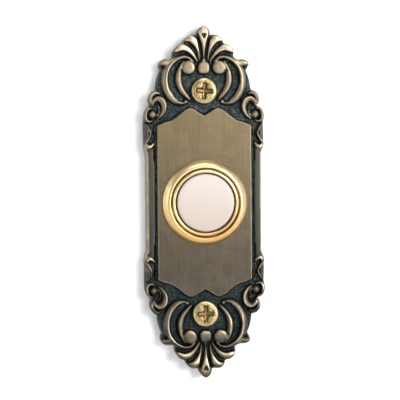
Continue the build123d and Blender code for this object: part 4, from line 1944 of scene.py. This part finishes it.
@dataclass
class RetainingNut:
    """Ring nut that draws the bezel up against the plate."""

    bore_radius: float = 10.29
    radius: float = 13.1
    low: float = 1.2
    high: float = 2.4
    notches: int = 6
    notch_width: float = 2.2
    notch_depth: float = 0.7
    first_notch: float = 30.0
    base: Colour = (0.62, 0.60, 0.52)
    shade: Colour = (0.50, 0.49, 0.44)

    def build(self) -> bpy.types.Object:
        """Turn the nut and cut its spanner notches.

        Returns:
            The dressed nut.
        """
        profile = [
            (self.bore_radius, self.low + 0.12),
            (self.bore_radius + 0.12, self.low),
            (self.radius - 0.2, self.low),
            (self.radius, self.low + 0.2),
            (self.radius, self.high - 0.05),
            (self.radius - 0.05, self.high),
            (self.bore_radius, self.high),
        ]
        nut = Turning("ring_nut", profile, steps=120, closed_ring=True).build()
        size = (2 * self.notch_depth, self.notch_width, 4.0)
        for index in range(self.notches):
            angle = index * 360 / self.notches + self.first_notch
            across = self.radius * math.cos(math.radians(angle))
            up = self.radius * math.sin(math.radians(angle))
            Join.CUT.apply(nut, block("notch", size, (across, up, (self.low + self.high) / 2), angle))
        ease_edges(nut, 0.05)
        return finish_with(nut, Metal("zinc_plate", self.base, self.shade, 0.28, 0.42).material())


@dataclass
class SwitchHousing:
    """Moulded barrel with its flange, floor, terminal holes and divider."""

    flange_radius: float = 9.65
    flange_face: float = 2.2
    flange_back: float = 0.6
    barrel_radius: float = 7.75
    barrel_bore: float = 6.9
    barrel_end: float = -11.5
    floor_top: float = -9.5
    hole_radius: float = 1.15
    hole_offset: float = 4.0
    divider_width: float = 1.0
    divider_span: float = 13.33
    divider_height: float = 2.6
    groove_levels: tuple[float, ...] = (-3.0, -8.6)
    groove_size: Point2 = (0.22, 0.3)
    base: Colour = (0.028, 0.022, 0.018)
    shade: Colour = (0.045, 0.034, 0.026)

    def build(self) -> bpy.types.Object:
        """Turn the barrel, then add the divider and the holes.

        Returns:
            The dressed housing.
        """
        barrel = [(self.barrel_radius, self.flange_back)]
        for level in self.groove_levels:
            barrel += arc((self.barrel_radius, level), self.groove_size, 90, 270, 6)
        profile = [
            (0.0, self.floor_top),
            (self.barrel_bore - 0.4, self.floor_top),
            (self.barrel_bore, self.floor_top + 0.4),
            (self.barrel_bore, self.flange_face - 0.15),
            (self.barrel_bore + 0.15, self.flange_face),
            (self.flange_radius - 0.15, self.flange_face),
            (self.flange_radius, self.flange_face - 0.15),
            (self.flange_radius, self.flange_back + 0.1),
            (self.flange_radius - 0.1, self.flange_back),
            *barrel,
            (self.barrel_radius, self.barrel_end + 0.4),
            (self.barrel_radius - 0.4, self.barrel_end),
            (0.0, self.barrel_end),
        ]
        housing = Turning("barrel_housing", profile, steps=96).build()
        middle = self.barrel_end - self.divider_height / 2 + 0.1
        size = (self.divider_width, self.divider_span, self.divider_height + 0.2)
        Join.FUSE.apply(housing, block("divider", size, (0.0, 0.0, middle)))
        for across in (self.hole_offset, -self.hole_offset):
            Join.CUT.apply(housing, bore(self.hole_radius, self.barrel_end - 1, self.floor_top + 1, across))
        ease_edges(housing, 0.08, angle=50)
        finish = Plastic("dark_phenolic", self.base, self.shade, 0.34, 0.5, grain_mm=0.012)
        return finish_with(housing, finish.material())


@dataclass
class TerminalScrew:
    """Slotted cheese-head screw that clamps a wire behind the barrel."""

    name: str
    across: float
    slot_turn: float
    head_radius: float = 2.5
    head_top: float = -12.1
    head_low: float = -13.6
    shank_radius: float = 0.8
    shank_end: float = -9.0
    slot_width: float = 0.7
    slot_depth: float = 0.7

    def build(self, material: bpy.types.Material) -> bpy.types.Object:
        """Turn the screw and cut its slot.

        Args:
            material: its finish.

        Returns:
            The dressed screw.
        """
        profile = [
            (0.0, self.head_low),
            (self.head_radius * 0.55, self.head_low + 0.02),
            (self.head_radius * 0.88, self.head_low + 0.14),
            (self.head_radius, self.head_low + 0.42),
            (self.head_radius, self.head_top - 0.08),
            (self.head_radius - 0.08, self.head_top),
            (self.shank_radius, self.head_top),
            (self.shank_radius, self.shank_end - 0.2),
            (self.shank_radius - 0.2, self.shank_end),
            (0.0, self.shank_end),
        ]
        screw = Turning(self.name, profile, centre=(self.across, 0.0), steps=56).build()
        size = (2 * self.head_radius + 1, self.slot_width, 2 * self.slot_depth)
        Join.CUT.apply(screw, block("slot", size, (self.across, 0.0, self.head_low), self.slot_turn))
        ease_edges(screw, 0.05, angle=40)
        return finish_with(screw, material)


@dataclass
class ClampWasher:
    """Square wire clamp with soft edges and a hole for its screw."""

    name: str
    across: float
    side: float = 4.6
    low: float = -12.1
    high: float = -11.5
    hole_radius: float = 0.9

    def build(self, material: bpy.types.Material) -> bpy.types.Object:
        """Bore the square's hole and round its edges.

        Args:
            material: its finish.

        Returns:
            The dressed clamp.
        """
        size = (self.side, self.side, self.high - self.low)
        plate = block(self.name, size, (self.across, 0.0, (self.low + self.high) / 2))
        Join.CUT.apply(plate, bore(self.hole_radius, self.low - 1, self.high + 1, self.across))
        ease_edges(plate, 0.12, segments=3, angle=50)
        return finish_with(plate, material)


@dataclass
class ReturnSpring:
    """Coil of round wire with closed ends, between the holder and the cap."""

    mean_radius: float = 3.75
    wire_radius: float = 0.22
    low: float = -7.0
    high: float = 6.28
    turns: int = 5
    steps: int = 40
    closed_share: float = 0.1
    travel: float = 1.52
    wire_corners: int = 14
    base: Colour = (0.52, 0.52, 0.53)
    shade: Colour = (0.40, 0.40, 0.42)

    def build(self) -> bpy.types.Object:
        """Sweep the wire's circle up the helix and close its end turns.

        Returns:
            The dressed coil.
        """
        rise = self.high - self.low - 2 * self.wire_radius
        start = self.low + self.wire_radius
        deselect_all()
        bpy.ops.mesh.primitive_circle_add(
            vertices=self.wire_corners,
            radius=self.wire_radius * MM,
            fill_type="NGON",
            location=row_point(self.mean_radius, 0.0, start),
        )
        coil = bpy.context.object
        coil.name = "round_wire_spring"
        bpy.ops.object.mode_set(mode="EDIT")
        bpy.ops.mesh.select_all(action="SELECT")
        bpy.ops.mesh.delete(type="ONLY_FACE")
        bpy.ops.object.mode_set(mode="OBJECT")
        bpy.ops.object.transform_apply(location=True, rotation=True, scale=True)
        apply_modifier(
            coil,
            "SCREW",
            axis="Y",
            angle=FULL_TURN,
            screw_offset=-rise / self.turns * MM,
            iterations=self.turns,
            steps=self.steps,
            render_steps=self.steps,
            use_merge_vertices=False,
        )
        co = points_of(coil)
        rings = co.reshape(-1, self.wire_corners, 3)
        middle = rings[:, :, 1].mean(1)
        share = (middle - middle[0]) / (middle[-1] - middle[0])
        eased = np.clip((share - self.closed_share) / (1 - 2 * self.closed_share), 0, 1)
        rings[:, :, 1] += (middle[0] + (middle[-1] - middle[0]) * eased - middle)[:, None]
        move_points(coil, co)
        close_ends(coil)
        return finish_with(coil, Metal("spring_wire", self.base, self.shade, 0.22, 0.34).material())

    def ride(self, coil: bpy.types.Object) -> None:
        """Give the coil its own copy of its mesh.

        Args:
            coil: the dressed coil.
        """
        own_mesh(coil)


@dataclass
class InnerWorks:
    """Contacts, bushes, leads and lamp: small solids that keep their own shape."""

    contact_nodes: tuple[str, ...] = (
        "contact_ring",
        "contact_leaf_left",
        "contact_leaf_right",
        "terminal_bush_left",
        "terminal_bush_right",
        "lamp_lead_left",
        "lamp_lead_right",
    )
    contact_finish: Metal = Metal(
        "contact_metal", (0.78, 0.58, 0.28), (0.66, 0.47, 0.22), 0.2, 0.34, mark_scale=(2600.0, 400.0, 2600.0)
    )
    holder_finish: Plastic = Plastic(
        "dark_moulding", (0.05, 0.045, 0.04), (0.075, 0.066, 0.056), 0.4, 0.55, grain_mm=0.01
    )

    def dress(self) -> None:
        """Give each carried-over node its own finish."""
        contact = self.contact_finish.material()
        for name in self.contact_nodes:
            self.coat(name, contact)
        self.coat("lamp_holder", self.holder_finish.material())
        self.coat("lamp_bulb", LampGlass().material())

    def coat(self, name: str, material: bpy.types.Material) -> None:
        """Put one material on a CAD node's slots.

        Args:
            name: the node's name.
            material: its finish.
        """
        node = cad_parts[name]
        for place in node.material_slots:
            place.material = material
        LOG.info("%s: its own shape, new finish", name)


@dataclass
class Studio:
    """Pale wall and floor, soft lights and the camera."""

    azimuth: float = -6.5
    elevation: float = 2.5
    roll: float = 0.4
    lens: float = 150.0
    sensor: float = 36.0
    frame_width: float = 120.0
    aim_across: float = -0.9
    aim_up: float = 0.55
    wall_gap: float = 0.5
    opening: Point2 = (15.0, 48.0)
    wall_reach: Point2 = (25.0, 9.0)
    floor_drop: float = 85.0
    floor_side: float = 4.0
    sky_tone: Colour = (0.96, 0.98, 1.0)
    sky_strength: float = 0.33
    sight: Point2 = (0.01, 20.0)

    def wall(self) -> None:
        """Set up the pale wall, seen from its front only and open behind the bell."""
        deselect_all()
        bpy.ops.mesh.primitive_circle_add(
            vertices=96, radius=MM, location=(0.0, self.wall_gap * MM, 0.0), rotation=(math.pi / 2, 0.0, 0.0)
        )
        wall = bpy.context.object
        wall.name = "studio_wall"
        bpy.ops.object.transform_apply(location=False, rotation=True, scale=False)
        bpy.ops.object.mode_set(mode="EDIT")
        bpy.ops.mesh.select_mode(type="VERT")
        bpy.ops.mesh.select_all(action="SELECT")
        bpy.ops.transform.resize(value=(self.opening[0], 1.0, self.opening[1]))
        bpy.ops.mesh.extrude_edges_move()
        bpy.ops.transform.resize(value=(self.wall_reach[0], 1.0, self.wall_reach[1]))
        bpy.ops.mesh.select_all(action="SELECT")
        bpy.ops.mesh.flip_normals()
        bpy.ops.object.mode_set(mode="OBJECT")
        wall.data.materials.append(StageFinish(one_sided=True).material())

    def floor(self) -> None:
        """Set up the plain pale floor well below the bell."""
        deselect_all()
        bpy.ops.mesh.primitive_plane_add(size=self.floor_side, location=(0.0, 0.0, -self.floor_drop * MM))
        floor = bpy.context.object
        floor.name = "studio_floor"
        floor.data.materials.append(StageFinish().material())

    def light(self, name: str, place: Point3, size: float, power: float) -> None:
        """Aim a white square area light at the bell.

        Args:
            name: the light's name.
            place: its middle in metres.
            size: length of its side in metres.
            power: its power in watts.
        """
        data = bpy.data.lights.new(name, "AREA")
        data.size, data.energy = size, power
        lamp = bpy.data.objects.new(name, data)
        bpy.context.scene.collection.objects.link(lamp)
        lamp.location = place
        lamp.rotation_mode = "QUATERNION"
        lamp.rotation_quaternion = (-Vector(place)).to_track_quat("-Z", "Y")

    def world(self) -> None:
        """Light the bell evenly from all round."""
        world = bpy.data.worlds.new("studio")
        world.use_nodes = True
        background = world.node_tree.nodes["Background"]
        background.inputs["Color"].default_value = (*self.sky_tone, 1.0)
        background.inputs["Strength"].default_value = self.sky_strength
        bpy.context.scene.world = world

    def camera(self) -> None:
        """Put a long lens a little left of and above the bell, as in the photograph."""
        data = bpy.data.cameras.new("camera")
        data.lens, data.sensor_width = self.lens, self.sensor
        data.clip_start, data.clip_end = self.sight
        camera = bpy.data.objects.new("camera", data)
        bpy.context.scene.collection.objects.link(camera)
        distance = self.frame_width * MM / self.sensor * self.lens
        a, e = math.radians(self.azimuth), math.radians(self.elevation)
        back = Vector((math.sin(a) * math.cos(e), -math.cos(a) * math.cos(e), math.sin(e)))
        aim = Vector((self.aim_across * MM, 0.0, self.aim_up * MM))
        camera.location = aim + back * distance
        camera.rotation_mode = "QUATERNION"
        camera.rotation_quaternion = (-back).to_track_quat("-Z", "Y")
        camera.rotation_mode = "XYZ"
        camera.rotation_euler.rotate_axis("Z", math.radians(-self.roll))
        bpy.context.scene.camera = camera

    def build(self) -> None:
        """Set up the whole studio."""
        self.world()
        self.wall()
        self.floor()
        self.light("key", (0.52, -0.83, 0.2), 0.45, 8.5)
        self.light("overhead", (0.05, -0.5, 0.85), 0.6, 3.4)
        self.light("fill", (-0.9, -0.4, 0.15), 0.5, 1.7)
        self.light("behind", (-0.4, 0.85, 0.3), 0.5, 5.0)
        self.camera()
        bpy.context.scene.view_settings.view_transform = "Standard"


def dress(piece: bpy.types.Object, body: str, slot: str, *nodes: str) -> None:
    """Let a piece ride on a body and stand for CAD nodes.

    Args:
        piece: the dressed piece.
        body: name of the body that carries it.
        slot: name of its finish slot; not used.
        nodes: the CAD nodes that it replaces.
    """
    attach(piece, body)
    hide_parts(*nodes)
    LOG.info("%s: %d faces on %s", piece.name, len(piece.data.polygons), body)


def main() -> None:
    """Build and dress every piece, light the scene and set the camera."""
    logging.basicConfig(level=logging.INFO, format="%(message)s")
    plate = settle(CastPlate().build(), smooth_angle=62.0)
    dress(plate, "frame", "cast_brass", "plate")
    dress(BezelRing().build(), "frame", "polished_brass", "bezel_ring")
    dress(ButtonCap().build(), "button", "ivory_plastic", "button_cap")
    finish = ScrewBrass()
    brass = finish.material()
    upper = MountingScrew("wood_screw_upper", finish.half_spacing, recess_turn=-5.0)
    lower = MountingScrew("wood_screw_lower", -finish.half_spacing, recess_turn=1.0)
    dress(upper.build(brass), "frame", "screw_brass", "mounting_screw_upper")
    dress(lower.build(brass), "frame", "screw_brass", "mounting_screw_lower")
    dress(RetainingNut().build(), "frame", "plated_steel", "retaining_nut")
    housing = SwitchHousing()
    dress(housing.build(), "frame", "dark_plastic", "switch_housing")
    plated = Metal("nickel_plate", (0.60, 0.57, 0.50), (0.47, 0.45, 0.41), 0.24, 0.4).material()
    for side, across, turn in (("left", -housing.hole_offset, 20.0), ("right", housing.hole_offset, -35.0)):
        screw = TerminalScrew("slotted_screw_" + side, across, slot_turn=turn)
        dress(screw.build(plated), "frame", "plated_steel", "terminal_screw_" + side)
        washer = ClampWasher("wire_clamp_" + side, across)
        dress(washer.build(plated), "frame", "plated_steel", "clamp_washer_" + side)
    spring = ReturnSpring()
    coil = spring.build()
    dress(coil, "frame", "spring_steel", "return_spring")
    spring.ride(coil)
    InnerWorks().dress()
    Studio().build()


if __name__ == "__main__":
    main()
